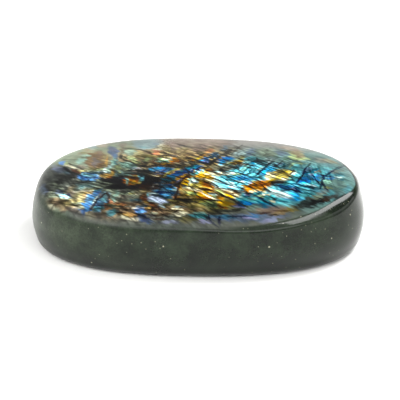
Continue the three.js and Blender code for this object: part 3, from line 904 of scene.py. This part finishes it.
# The hue and the brightness of the flash also drift slowly. A scale is 1 over a size in millimetres.
HUE_DRIFT = {"Scale": 1 / 2, "Detail": 2}
SHADE_DRIFT = {"Scale": 1 / 2.86, "Detail": 2}

# The flash is laid in its colours as they look. This brings them to the studio's light.
FLASH_GAIN = 0.86

# All patches are this much softer than laid, because they fade into each other in the stone.
PATCH_SOFTENING = 1.3

# How strongly each pattern works: the stretch of its noise, and what it gives over that stretch.
# These are factors on brightness, apart from the hue, where 0.5 changes nothing.
LAMELLA_CONTRAST = {"From Min": 0.37, "From Max": 0.63, "To Min": 0.5, "To Max": 1.8}
MOTTLE_CONTRAST = {"From Min": 0.36, "From Max": 0.64, "To Min": 0.6, "To Max": 1.45}
SHADE_CONTRAST = {
    "From Min": 0.35,
    "From Max": 0.6,
    "To Min": 0.75 * FLASH_GAIN,
    "To Max": 1.1 * FLASH_GAIN,
}
GRAIN_CONTRAST = {"From Min": 0.3, "From Max": 0.7, "To Min": 0.6, "To Max": 1.4}
HUE_CHANGE = {"To Min": 0.45, "To Max": 0.55}

# How strong the colours are outside the vivid zone, and in it.
VIVIDNESS = {"To Min": 0.95, "To Max": 1.25}

# The dull stone's clouds and grain. From one x to the other it turns paler, towards the left end.
CLOUDS = {"Scale": 1 / 6.25, "Detail": 5, "Roughness": 0.65}
CLOUD_STRETCH = {"From Min": 0.38, "From Max": 0.62}
CLOUD_COLOURS_RIGHT = ("#0e150d", "#1f291c")
CLOUD_COLOURS_LEFT = ("#1d261a", "#374031")
PALER_TO_LEFT = {"From Min": -10, "From Max": -38}
GRAIN = {"Scale": 1 / 0.4545, "Detail": 3, "Roughness": 0.7}

# Painted shade: the dull stone's wall is darkened from this height down to the floor, where this much of
# its brightness is left.
PAINTED_SHADE_BELOW = {"From Max": 9, "To Min": 0.3}

# Pale grains in the dull stone: spacing, colour, share left out, radius.
SPECKS = [
    (1.1, "#6c6c5a", 0.7, 0.17),
    (2.4, "#9c9a84", 0.8, 0.26),
]

# A speck is full up to this share of its radius, and fades from there to its edge.
SPECK_CORE = 0.4

# The flash shows where the surface faces up by more than a limit, and fades out over a width below it.
# From one x to the other the edge of the face turns from soft to crisp, which raises the limit.
EDGE_TURNS_CRISP = {"From Min": 14, "From Max": 24}
FLASH_LIMIT = {"To Min": 0.86, "To Max": 0.96}

# From one x to the other the shoulder turns soft, which widens the fade and makes the gloss more satin.
SHOULDER_TURNS_SOFT = {"From Min": 18, "From Max": -14}
FLASH_FADE = {"To Min": 0.06, "To Max": 0.5}
SATIN = {"To Max": 0.2}

# The lapped gloss: its faint wear, how deep that is, and the roughness it varies over.
WEAR = {"Scale": 1 / 0.667, "Detail": 4}
WEAR_RELIEF = {"Strength": 0.25, "Distance": 0.02 * MM}
GLOSS = {"To Min": 0.06, "To Max": 0.16}

# Labradorite's index of refraction. In the photograph its reflection is weaker than that alone gives.
FELDSPAR_IOR = 1.56
SPECULAR_LEVEL = 0.2

# Soft light panels, in metres and watts: direction from the stone, distance, length and width, power,
# and the direction that the length runs in.
PANELS = {
    "overhead": ((0, -0.3, 1), 0.6, (1.6, 1), 5, (1, 0, 0)),
    "front": ((0, -0.8, 0.6), 0.8, (1.6, 0.4), 6, (1, 0, 0)),
    "left_fill": ((-0.8, -0.4, 0.6), 0.8, (0.5, 0.5), 3.5, (1, 0, 0)),
    "bevel_light": ((0.5, 0.24, 0.8), 0.8, (0.85, 0.22), 6, (0.13, 0.65, -0.26)),
    "rim_light": ((0.9, -0.05, 0.45), 0.8, (1.1, 0.25), 1.3, (0, 1, 0)),
}

# The room as the stone sees it: dim above the first height, and a pale wall below the second.
# Heights are sines of the angle above the floor.
ROOM_GLOW = {"From Min": 0.34, "From Max": 0.16, "To Min": 0.12, "To Max": 0.7}
BACKDROP_GLOW = 1.15

# The floor's half width in metres, and its matt white.
FLOOR_REACH = 2
FLOOR_COLOUR = "#f2f2f0"
FLOOR_ROUGHNESS = 0.9

# The reach in depth of a pattern that doesn't change with depth.
DEEP = 1000

# A Mix node's colour sockets go by number, because several of its sockets share a name.
MIX_SHARE = 0
MIX_FIRST = 6
MIX_SECOND = 7
COVER = {"output": 2, "data_type": "RGBA", "blend_type": "MIX"}
MULTIPLY = {"output": 2, "data_type": "RGBA", "blend_type": "MULTIPLY"}


def linear(hex_colour):
    """An sRGB hex colour as linear red, green, blue and alpha."""
    channels = [int(hex_colour[i:i + 2], 16) / 255 for i in (1, 3, 5)]
    return [c / 12.92 if c <= 0.04045 else ((c + 0.055) / 1.055) ** 2.4 for c in channels] + [1]


def add_node(tree, kind, inputs=None, output=0, **settings):
    """Adds a node with its settings, values and links, and returns one of its outputs."""
    made = tree.nodes.new(kind)
    for name, value in settings.items():
        setattr(made, name, value)
    for name, value in (inputs or {}).items():
        if isinstance(value, bpy.types.NodeSocket):
            tree.links.new(value, made.inputs[name])
        else:
            made.inputs[name].default_value = value
    return made.outputs[output] if len(made.outputs) else made


def smoothstep(low, high, value):
    """A share that eases from 0 at the low value to 1 at the high one."""
    share = min(max((value - low) / (high - low), 0), 1)
    return share * share * (3 - 2 * share)


def nearness(angle, cut):
    """A bell-shaped share, 1 at the angle of a cut and fading over its spread."""
    turn = (angle - cut["angle"] + math.pi) % (2 * math.pi) - math.pi
    return math.exp(-((turn / cut["spread"]) ** 2))


def outline_point(outline, angle):
    """The point of an outline at an angle round the stone, counted from the right end."""
    along = math.cos(angle)
    across = math.sin(angle)
    reach = (abs(along) ** SQUARENESS + abs(across) ** SQUARENESS) ** (-1 / SQUARENESS)
    corner = nearness(angle, GROUND_BACK)
    taken = outline["ground_back"] * corner
    x = outline["centre_x"] + outline["half_length"] * reach * along
    y = outline["half_width"] * reach * across
    x -= taken * math.cos(GROUND_BACK_TURN)
    y -= taken * math.sin(GROUND_BACK_TURN)
    lowered = outline["cut_down"] * nearness(angle, BEVEL) + outline["ground_down"] * corner
    z = outline["height"] - lowered - outline["fall"] * x
    return Vector((x, y, z))


def dome_point(edge, share):
    """The dome over the face: share 1 is the point given at its edge, and 0 is the middle."""
    low = share * share
    x = FACE["centre_x"] + (edge.x - FACE["centre_x"]) * share
    return Vector((x, edge.y * share, edge.z * low + HEIGHT * (1 - low)))


def curve_points(controls, steps):
    """Points along a Bezier curve of any order."""
    points = []
    for step in range(steps + 1):
        level = list(controls)
        while len(level) > 1:
            level = [a.lerp(b, step / steps) for a, b in zip(level, level[1:])]
        points.append(level[0])
    return points


def rounded_edge(above, edge, below, rounding, steps):
    """The points of an edge rounded over between its neighbours above and below."""
    start = edge.lerp(above, min(rounding / (above - edge).length, WIDEST_ROUNDING))
    end = edge.lerp(below, min(rounding / (below - edge).length, WIDEST_ROUNDING))
    return curve_points([start, edge, end], steps)


def meridian(angle):
    """One line down the stone, from the middle of the face over the edges to the middle of the base."""
    base, belly, rim, face = [outline_point(outline, angle) for outline in (BASE, BELLY, RIM, FACE)]
    crisp = rounded_edge(dome_point(face, INNER_DOME_SHARE), face, rim, FACE_ROUNDING, EDGE_RINGS)
    crisp += rounded_edge(face, rim, belly, RIM_ROUNDING, EDGE_RINGS)
    radius = math.hypot(face.x - FACE["centre_x"], face.y)
    start = dome_point(face, 1 - SHOULDER_ON_FACE / radius)
    soft = curve_points([start, face, rim, rim.lerp(belly, SHOULDER_ON_WALL)], 2 * EDGE_RINGS + 1)
    share = max(1 - smoothstep(*SOFT_LEFT, belly.x), smoothstep(*SOFT_BACK, belly.y))
    shoulder = [a.lerp(b, share) for a, b in zip(crisp, soft)]
    dome = [dome_point(shoulder[0], ring / DOME_RINGS) for ring in range(DOME_RINGS)]
    middle = Vector((0, 0, BASE["height"]))
    wall = rounded_edge(rim, belly, base, BELLY_ROUNDING, WALL_RINGS)
    foot = rounded_edge(belly, base, middle, BASE_ROUNDING, EDGE_RINGS)
    upper_wall = [shoulder[-1].lerp(wall[0], ring / WALL_RINGS) for ring in range(1, WALL_RINGS)]
    lower_wall = [wall[-1].lerp(foot[0], ring / WALL_RINGS) for ring in range(1, WALL_RINGS)]
    inwards = [ring / BASE_MIDDLE_RINGS for ring in range(1, BASE_MIDDLE_RINGS + 1)]
    underside = [foot[-1].lerp(middle, share) for share in inwards]
    return dome + shoulder + upper_wall + wall + lower_wall + foot + underside


def stone_piece(material):
    """The polished stone: a ball whose meridians are laid on the stone's own."""
    lines = [meridian(2 * math.pi * column / AROUND) for column in range(AROUND)]
    rings = len(lines[0]) - 1
    bm = bmesh.new()
    bmesh.ops.create_uvsphere(bm, u_segments=AROUND, v_segments=rings, radius=1)
    for vert in bm.verts:
        column = round(math.atan2(vert.co.y, vert.co.x) / (2 * math.pi) * AROUND) % AROUND
        ring = round(math.acos(max(-1, min(1, vert.co.z))) / math.pi * rings)
        vert.co = lines[column][ring] * MM
    for face in bm.faces:
        face.smooth = True
    mesh = bpy.data.meshes.new("polished_stone")
    bm.to_mesh(mesh)
    bm.free()
    piece = bpy.data.objects.new("polished_stone", mesh)
    bpy.context.scene.collection.objects.link(piece)
    mesh.materials.append(material)
    return piece


def depth_in_oval(tree, point, x, y, half_length, half_width, turn=0):
    """How deep a point lies in an oval: 1 in its middle, and 0 at its edge and past it."""
    local = add_node(tree, "ShaderNodeMapping", {
        "Vector": point,
        "Location": (x, y, 0),
        "Rotation": (0, 0, turn),
        "Scale": (half_length, half_width, DEEP),
    }, vector_type="TEXTURE")
    settings = {"output": "Fac", "gradient_type": "SPHERICAL"}
    return add_node(tree, "ShaderNodeTexGradient", {"Vector": local}, **settings)


def in_zone(tree, point, x, y, half_length, half_width):
    """A share that is 1 inside a zone and fades to 0 at its edge."""
    depth = depth_in_oval(tree, point, x, y, half_length, half_width)
    return add_node(tree, "ShaderNodeMapRange", {"Value": depth, "From Max": ZONE_EDGE})


def lay_oval(tree, so_far, point, colour, x, y, half_length, half_width, turn, softness, strength):
    """Lays an oval of a colour over the colours so far. Its soft edge lies half outside its sizes."""
    outer = 1 + softness / 2
    inner = 1 - softness / 2
    share = add_node(tree, "ShaderNodeMapRange", {
        "Value": depth_in_oval(tree, point, x, y, half_length * outer, half_width * outer, turn),
        "From Max": 1 - inner / outer,
        "To Max": strength,
    }, interpolation_type="SMOOTHSTEP", clamp=False)
    return add_node(tree, "ShaderNodeMix", {
        MIX_SHARE: share, MIX_FIRST: so_far, MIX_SECOND: linear(COLOURS[colour]),
    }, **COVER)


def region(name, ovals):
    """A node group that lays a region's ovals over a colour."""
    tree = bpy.data.node_groups.new(name, "ShaderNodeTree")
    tree.interface.new_socket("Point", in_out="INPUT", socket_type="NodeSocketVector")
    tree.interface.new_socket("Colour", in_out="INPUT", socket_type="NodeSocketColor")
    tree.interface.new_socket("Colour", in_out="OUTPUT", socket_type="NodeSocketColor")
    given = tree.nodes.new("NodeGroupInput")
    colour = given.outputs["Colour"]
    for oval in ovals:
        colour = lay_oval(tree, colour, given.outputs["Point"], *oval)
    add_node(tree, "NodeGroupOutput", {"Colour": colour})
    return tree


def patch(colour, x, y, half_length, half_width, turn, softness, strength):
    """A patch of the flash, as an oval to lay."""
    return colour, x, y, half_length, half_width, math.radians(turn), softness * PATCH_SOFTENING, strength


def crack(colour, x0, y0, x1, y1, half_width, strength):
    """A crack, as a long thin oval from end to end."""
    half_length = math.hypot(x1 - x0, y1 - y0) / 2 + half_width
    turn = math.atan2(y1 - y0, x1 - x0)
    return colour, (x0 + x1) / 2, (y0 + y1) / 2, half_length, half_width, turn, CRACK_SOFTNESS, strength


def wandering(tree, point, swells):
    """The point moved to and fro by swells of a size and a reach, as an uneven growth would move it."""
    for size, reach in swells:
        inputs = {"Vector": point, "Scale": 1 / size, "Detail": 2}
        cloud = add_node(tree, "ShaderNodeTexNoise", inputs, output="Color")
        inputs = {0: cloud, 1: (0.5, 0.5, 0.5)}
        centred = add_node(tree, "ShaderNodeVectorMath", inputs, operation="SUBTRACT")
        moved = add_node(tree, "ShaderNodeVectorMath", {0: centred, "Scale": reach}, operation="SCALE")
        point = add_node(tree, "ShaderNodeVectorMath", {0: point, 1: moved})
    return point


def streaks(tree, point, turn, length, width, detail=2):
    """Uneven streaks that run in one direction, as a value round a half."""
    local = add_node(tree, "ShaderNodeMapping", {
        "Vector": point,
        "Rotation": (0, 0, math.radians(turn)),
        "Scale": (length, width, DEEP),
    }, vector_type="TEXTURE")
    return add_node(tree, "ShaderNodeTexNoise", {"Vector": local, "Scale": 1, "Detail": detail})


def lamellae(tree, point):
    """Fine dark and bright layers, edge on, as a factor on the flash's brightness."""
    factor = None
    for turn, *zone in LAMELLAE:
        run = streaks(tree, point, turn, LAMELLA_LENGTH, LAMELLA_WIDTH)
        here = add_node(tree, "ShaderNodeMapRange", {"Value": run, **LAMELLA_CONTRAST})
        if zone:
            inputs = {MIX_SHARE: in_zone(tree, point, *zone), MIX_FIRST: factor, MIX_SECOND: here}
            here = add_node(tree, "ShaderNodeMix", inputs, **COVER)
        factor = here
    return factor


def fine_cracks(tree, point):
    """A broken network of hairline cracks, as a factor on the flash's brightness."""
    factor = 1
    for turn, length, width, brightness in HAIRLINES:
        run = streaks(tree, point, turn, length, width, HAIRLINE_DETAIL)
        off = add_node(tree, "ShaderNodeMath", {0: run, 1: 0.5}, operation="SUBTRACT")
        away = add_node(tree, "ShaderNodeMath", {0: off}, operation="ABSOLUTE")
        line = add_node(tree, "ShaderNodeMapRange", {
            "Value": away, "From Min": HAIRLINE_CORE, "From Max": HAIRLINE_EDGE, "To Min": brightness,
        })
        factor = add_node(tree, "ShaderNodeMath", {0: factor, 1: line}, operation="MULTIPLY")
    return factor


def drawn_out(tree, point, layered, turn, length, width, reach):
    """The point moved to and fro along the layers, each by its own amount, by up to about the reach."""
    run = streaks(tree, layered, turn, length, width)
    heading = math.radians(turn)
    off = add_node(tree, "ShaderNodeMath", {0: run, 1: 0.5}, operation="SUBTRACT")
    along = (math.cos(heading) * reach, math.sin(heading) * reach, 0)
    moved = add_node(tree, "ShaderNodeVectorMath", {0: along, "Scale": off}, operation="SCALE")
    return add_node(tree, "ShaderNodeVectorMath", {0: point, 1: moved})


def flash_colour(tree, place):
    """The flash as it shows from the front: bent patches of colour, cut by fine lamellae and by cracks."""
    calm = wandering(tree, place, CALM_SWELLS)
    bent = drawn_out(tree, wandering(tree, place, PATCH_SWELLS), calm, *FLAMES)
    cracked = wandering(tree, place, CRACK_SWELLS)
    regions = [(name, bent, [patch(*row) for row in rows]) for name, rows in FLASH.items()]
    for name, rows in CRACKS.items():
        regions.append(("cracks " + name, cracked, [crack(*row) for row in rows]))
    colour = linear(COLOURS["verdigris"])
    for name, point, ovals in regions:
        inputs = {"Point": point, "Colour": colour}
        colour = add_node(tree, "ShaderNodeGroup", inputs, node_tree=region(name, ovals))
    drift = add_node(tree, "ShaderNodeTexNoise", {"Vector": bent, **HUE_DRIFT})
    hue = add_node(tree, "ShaderNodeMapRange", {"Value": drift, **HUE_CHANGE})
    in_vivid = in_zone(tree, calm, *VIVID_ZONE)
    vivid = add_node(tree, "ShaderNodeMapRange", {"Value": in_vivid, **VIVIDNESS})
    colour = add_node(tree, "ShaderNodeHueSaturation", {"Color": colour, "Hue": hue, "Saturation": vivid})
    depth = add_node(tree, "ShaderNodeTexNoise", {"Vector": bent, **SHADE_DRIFT})
    shade = add_node(tree, "ShaderNodeMapRange", {"Value": depth, **SHADE_CONTRAST})
    patchy = streaks(tree, calm, *MOTTLE)
    mottle = add_node(tree, "ShaderNodeMapRange", {"Value": patchy, **MOTTLE_CONTRAST})
    lively = 0
    for *zone, strength in LIVELY_ZONES:
        inside = in_zone(tree, calm, *zone)
        here = add_node(tree, "ShaderNodeMath", {0: inside, 1: strength}, operation="MULTIPLY")
        lively = add_node(tree, "ShaderNodeMath", {0: lively, 1: here}, operation="MAXIMUM")
    factors = [(1, shade), (lively, lamellae(tree, calm))]
    factors += [(in_zone(tree, calm, *zone), [bright] * 3 + [1]) for *zone, bright in BRIGHTNESS_ZONES]
    factors += [(lively, mottle), (lively, fine_cracks(tree, calm))]
    for share, factor in factors:
        inputs = {MIX_SHARE: share, MIX_FIRST: colour, MIX_SECOND: factor}
        colour = add_node(tree, "ShaderNodeMix", inputs, **MULTIPLY)
    return colour


def wall_colour(tree, place):
    """Dull grey-green feldspar, clouded and speckled with paler grains, darkened towards the floor by
    painted shade.
    """
    clouds = add_node(tree, "ShaderNodeTexNoise", {"Vector": place, **CLOUDS})
    cloudy = add_node(tree, "ShaderNodeMapRange", {"Value": clouds, **CLOUD_STRETCH})
    right, left = [
        add_node(tree, "ShaderNodeMix", {
            MIX_SHARE: cloudy, MIX_FIRST: linear(dark), MIX_SECOND: linear(light),
        }, **COVER)
        for dark, light in (CLOUD_COLOURS_RIGHT, CLOUD_COLOURS_LEFT)
    ]
    sideways = add_node(tree, "ShaderNodeSeparateXYZ", {0: place}, output="X")
    leftwards = add_node(tree, "ShaderNodeMapRange", {"Value": sideways, **PALER_TO_LEFT})
    inputs = {MIX_SHARE: leftwards, MIX_FIRST: right, MIX_SECOND: left}
    colour = add_node(tree, "ShaderNodeMix", inputs, **COVER)
    grain = add_node(tree, "ShaderNodeTexNoise", {"Vector": place, **GRAIN})
    grainy = add_node(tree, "ShaderNodeMapRange", {"Value": grain, **GRAIN_CONTRAST})
    # Painted shade: the wall is darkened towards the floor by its height, standing in for the shade there.
    height = add_node(tree, "ShaderNodeSeparateXYZ", {0: place}, output="Z")
    painted_shade = add_node(tree, "ShaderNodeMapRange", {"Value": height, **PAINTED_SHADE_BELOW})
    for factor in (grainy, painted_shade):
        inputs = {MIX_SHARE: 1, MIX_FIRST: colour, MIX_SECOND: factor}
        colour = add_node(tree, "ShaderNodeMix", inputs, **MULTIPLY)
    for spacing, hex_colour, rarity, radius in SPECKS:
        scale = 1 / spacing
        inputs = {"Vector": place, "Scale": scale, "Randomness": 1}
        outwards = add_node(tree, "ShaderNodeTexVoronoi", inputs, output="Distance")
        draw = add_node(tree, "ShaderNodeTexVoronoi", inputs, output="Color")
        chosen = add_node(tree, "ShaderNodeSeparateXYZ", {0: draw}, output="X")
        rare = add_node(tree, "ShaderNodeMath", {0: chosen, 1: rarity}, operation="GREATER_THAN")
        near = add_node(tree, "ShaderNodeMapRange", {
            "Value": outwards, "From Min": radius * scale, "From Max": radius * scale * SPECK_CORE,
        })
        share = add_node(tree, "ShaderNodeMath", {0: near, 1: rare}, operation="MULTIPLY")
        inputs = {MIX_SHARE: share, MIX_FIRST: colour, MIX_SECOND: linear(hex_colour)}
        colour = add_node(tree, "ShaderNodeMix", inputs, **COVER)
    return colour


def polished_labradorite():
    """Polished labradorite, a plagioclase feldspar, lapped to a gloss.

    Thin layers in it flash in the face, and the rest is dull. Lapping gives it clear reflections.
    """
    material = bpy.data.materials.new("polished_labradorite")
    material.use_nodes = True
    tree = material.node_tree
    tree.nodes.clear()
    metres = add_node(tree, "ShaderNodeTexCoord", output="Object")
    place = add_node(tree, "ShaderNodeVectorMath", {0: metres, "Scale": 1 / MM}, operation="SCALE")
    facing = add_node(tree, "ShaderNodeTexCoord", output="Normal")
    upwards = add_node(tree, "ShaderNodeSeparateXYZ", {0: facing}, output="Z")
    sideways = add_node(tree, "ShaderNodeSeparateXYZ", {0: place}, output="X")
    crisp = add_node(tree, "ShaderNodeMapRange", {"Value": sideways, **EDGE_TURNS_CRISP})
    soft = add_node(tree, "ShaderNodeMapRange", {"Value": sideways, **SHOULDER_TURNS_SOFT})
    limit = add_node(tree, "ShaderNodeMapRange", {"Value": crisp, **FLASH_LIMIT})
    fade = add_node(tree, "ShaderNodeMapRange", {"Value": soft, **FLASH_FADE})
    lowest = add_node(tree, "ShaderNodeMath", {0: limit, 1: fade}, operation="SUBTRACT")
    in_face = add_node(tree, "ShaderNodeMapRange", {
        "Value": upwards, "From Min": lowest, "From Max": limit,
    }, interpolation_type="SMOOTHSTEP")
    colour = add_node(tree, "ShaderNodeMix", {
        MIX_SHARE: in_face, MIX_FIRST: wall_colour(tree, place), MIX_SECOND: flash_colour(tree, place),
    }, **COVER)
    wear = add_node(tree, "ShaderNodeTexNoise", {"Vector": place, **WEAR})
    relief = add_node(tree, "ShaderNodeBump", {"Height": wear, **WEAR_RELIEF})
    gloss = add_node(tree, "ShaderNodeMapRange", {"Value": wear, **GLOSS})
    satin = add_node(tree, "ShaderNodeMapRange", {"Value": soft, **SATIN})
    shader = add_node(tree, "ShaderNodeBsdfPrincipled", {
        "Base Color": colour,
        "Roughness": add_node(tree, "ShaderNodeMath", {0: gloss, 1: satin}),
        "IOR": FELDSPAR_IOR,
        "Specular IOR Level": SPECULAR_LEVEL,
        "Normal": relief,
    })
    add_node(tree, "ShaderNodeOutputMaterial", {"Surface": shader})
    return material


def camera():
    back = Vector((
        math.sin(CAMERA_TURN) * math.cos(CAMERA_RISE),
        -math.cos(CAMERA_TURN) * math.cos(CAMERA_RISE),
        math.sin(CAMERA_RISE),
    ))
    made = bpy.data.objects.new("camera", bpy.data.cameras.new("camera"))
    bpy.context.scene.collection.objects.link(made)
    made.location = AIM + back * CAMERA_DISTANCE
    made.rotation_euler = back.to_track_quat("Z", "Y").to_euler()
    made.data.lens = CAMERA_LENS
    made.data.clip_start = CAMERA_NEAREST
    bpy.context.scene.camera = made


def floor():
    bm = bmesh.new()
    bmesh.ops.create_grid(bm, x_segments=1, y_segments=1, size=FLOOR_REACH)
    mesh = bpy.data.meshes.new("floor")
    bm.to_mesh(mesh)
    bm.free()
    made = bpy.data.objects.new("floor", mesh)
    bpy.context.scene.collection.objects.link(made)
    material = bpy.data.materials.new("matt_white_board")
    material.use_nodes = True
    shader = material.node_tree.nodes["Principled BSDF"]
    shader.inputs["Base Color"].default_value = linear(FLOOR_COLOUR)
    shader.inputs["Roughness"].default_value = FLOOR_ROUGHNESS
    shader.inputs["Specular IOR Level"].default_value = 0
    mesh.materials.append(material)


def panel(name, towards, distance, size, power, along):
    """A soft light panel that faces the stone, its length turned along a direction."""
    data = bpy.data.lights.new(name, "AREA")
    data.shape = "RECTANGLE"
    data.size, data.size_y = size
    data.energy = power
    made = bpy.data.objects.new(name, data)
    bpy.context.scene.collection.objects.link(made)
    back = Vector(towards).normalized()
    side = back.cross(Vector(along)).normalized()
    made.location = back * distance
    made.rotation_euler = Matrix((side.cross(back), side, back)).transposed().to_euler()


def studio():
    """A dim room with a pale wall low all round, as the stone sees it, and its light panels."""
    world = bpy.data.worlds.new("studio")
    bpy.context.scene.world = world
    world.use_nodes = True
    tree = world.node_tree
    tree.nodes.clear()
    direction = add_node(tree, "ShaderNodeTexCoord", output="Generated")
    height = add_node(tree, "ShaderNodeSeparateXYZ", {0: direction}, output="Z")
    walls = add_node(tree, "ShaderNodeMapRange", {"Value": height, **ROOM_GLOW})
    direct = add_node(tree, "ShaderNodeLightPath", output="Is Camera Ray")
    backdrop = add_node(tree, "ShaderNodeMath", {0: direct, 1: BACKDROP_GLOW}, operation="MULTIPLY")
    strength = add_node(tree, "ShaderNodeMath", {0: walls, 1: backdrop}, operation="MAXIMUM")
    light = add_node(tree, "ShaderNodeBackground", {"Color": (1, 1, 1, 1), "Strength": strength})
    add_node(tree, "ShaderNodeOutputWorld", {"Surface": light})
    for name, values in PANELS.items():
        panel(name, *values)


camera()
studio()
floor()
stone = stone_piece(polished_labradorite())
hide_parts("labradorite_stone")
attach(stone, "root")
bpy.context.scene.view_settings.view_transform = "Standard"
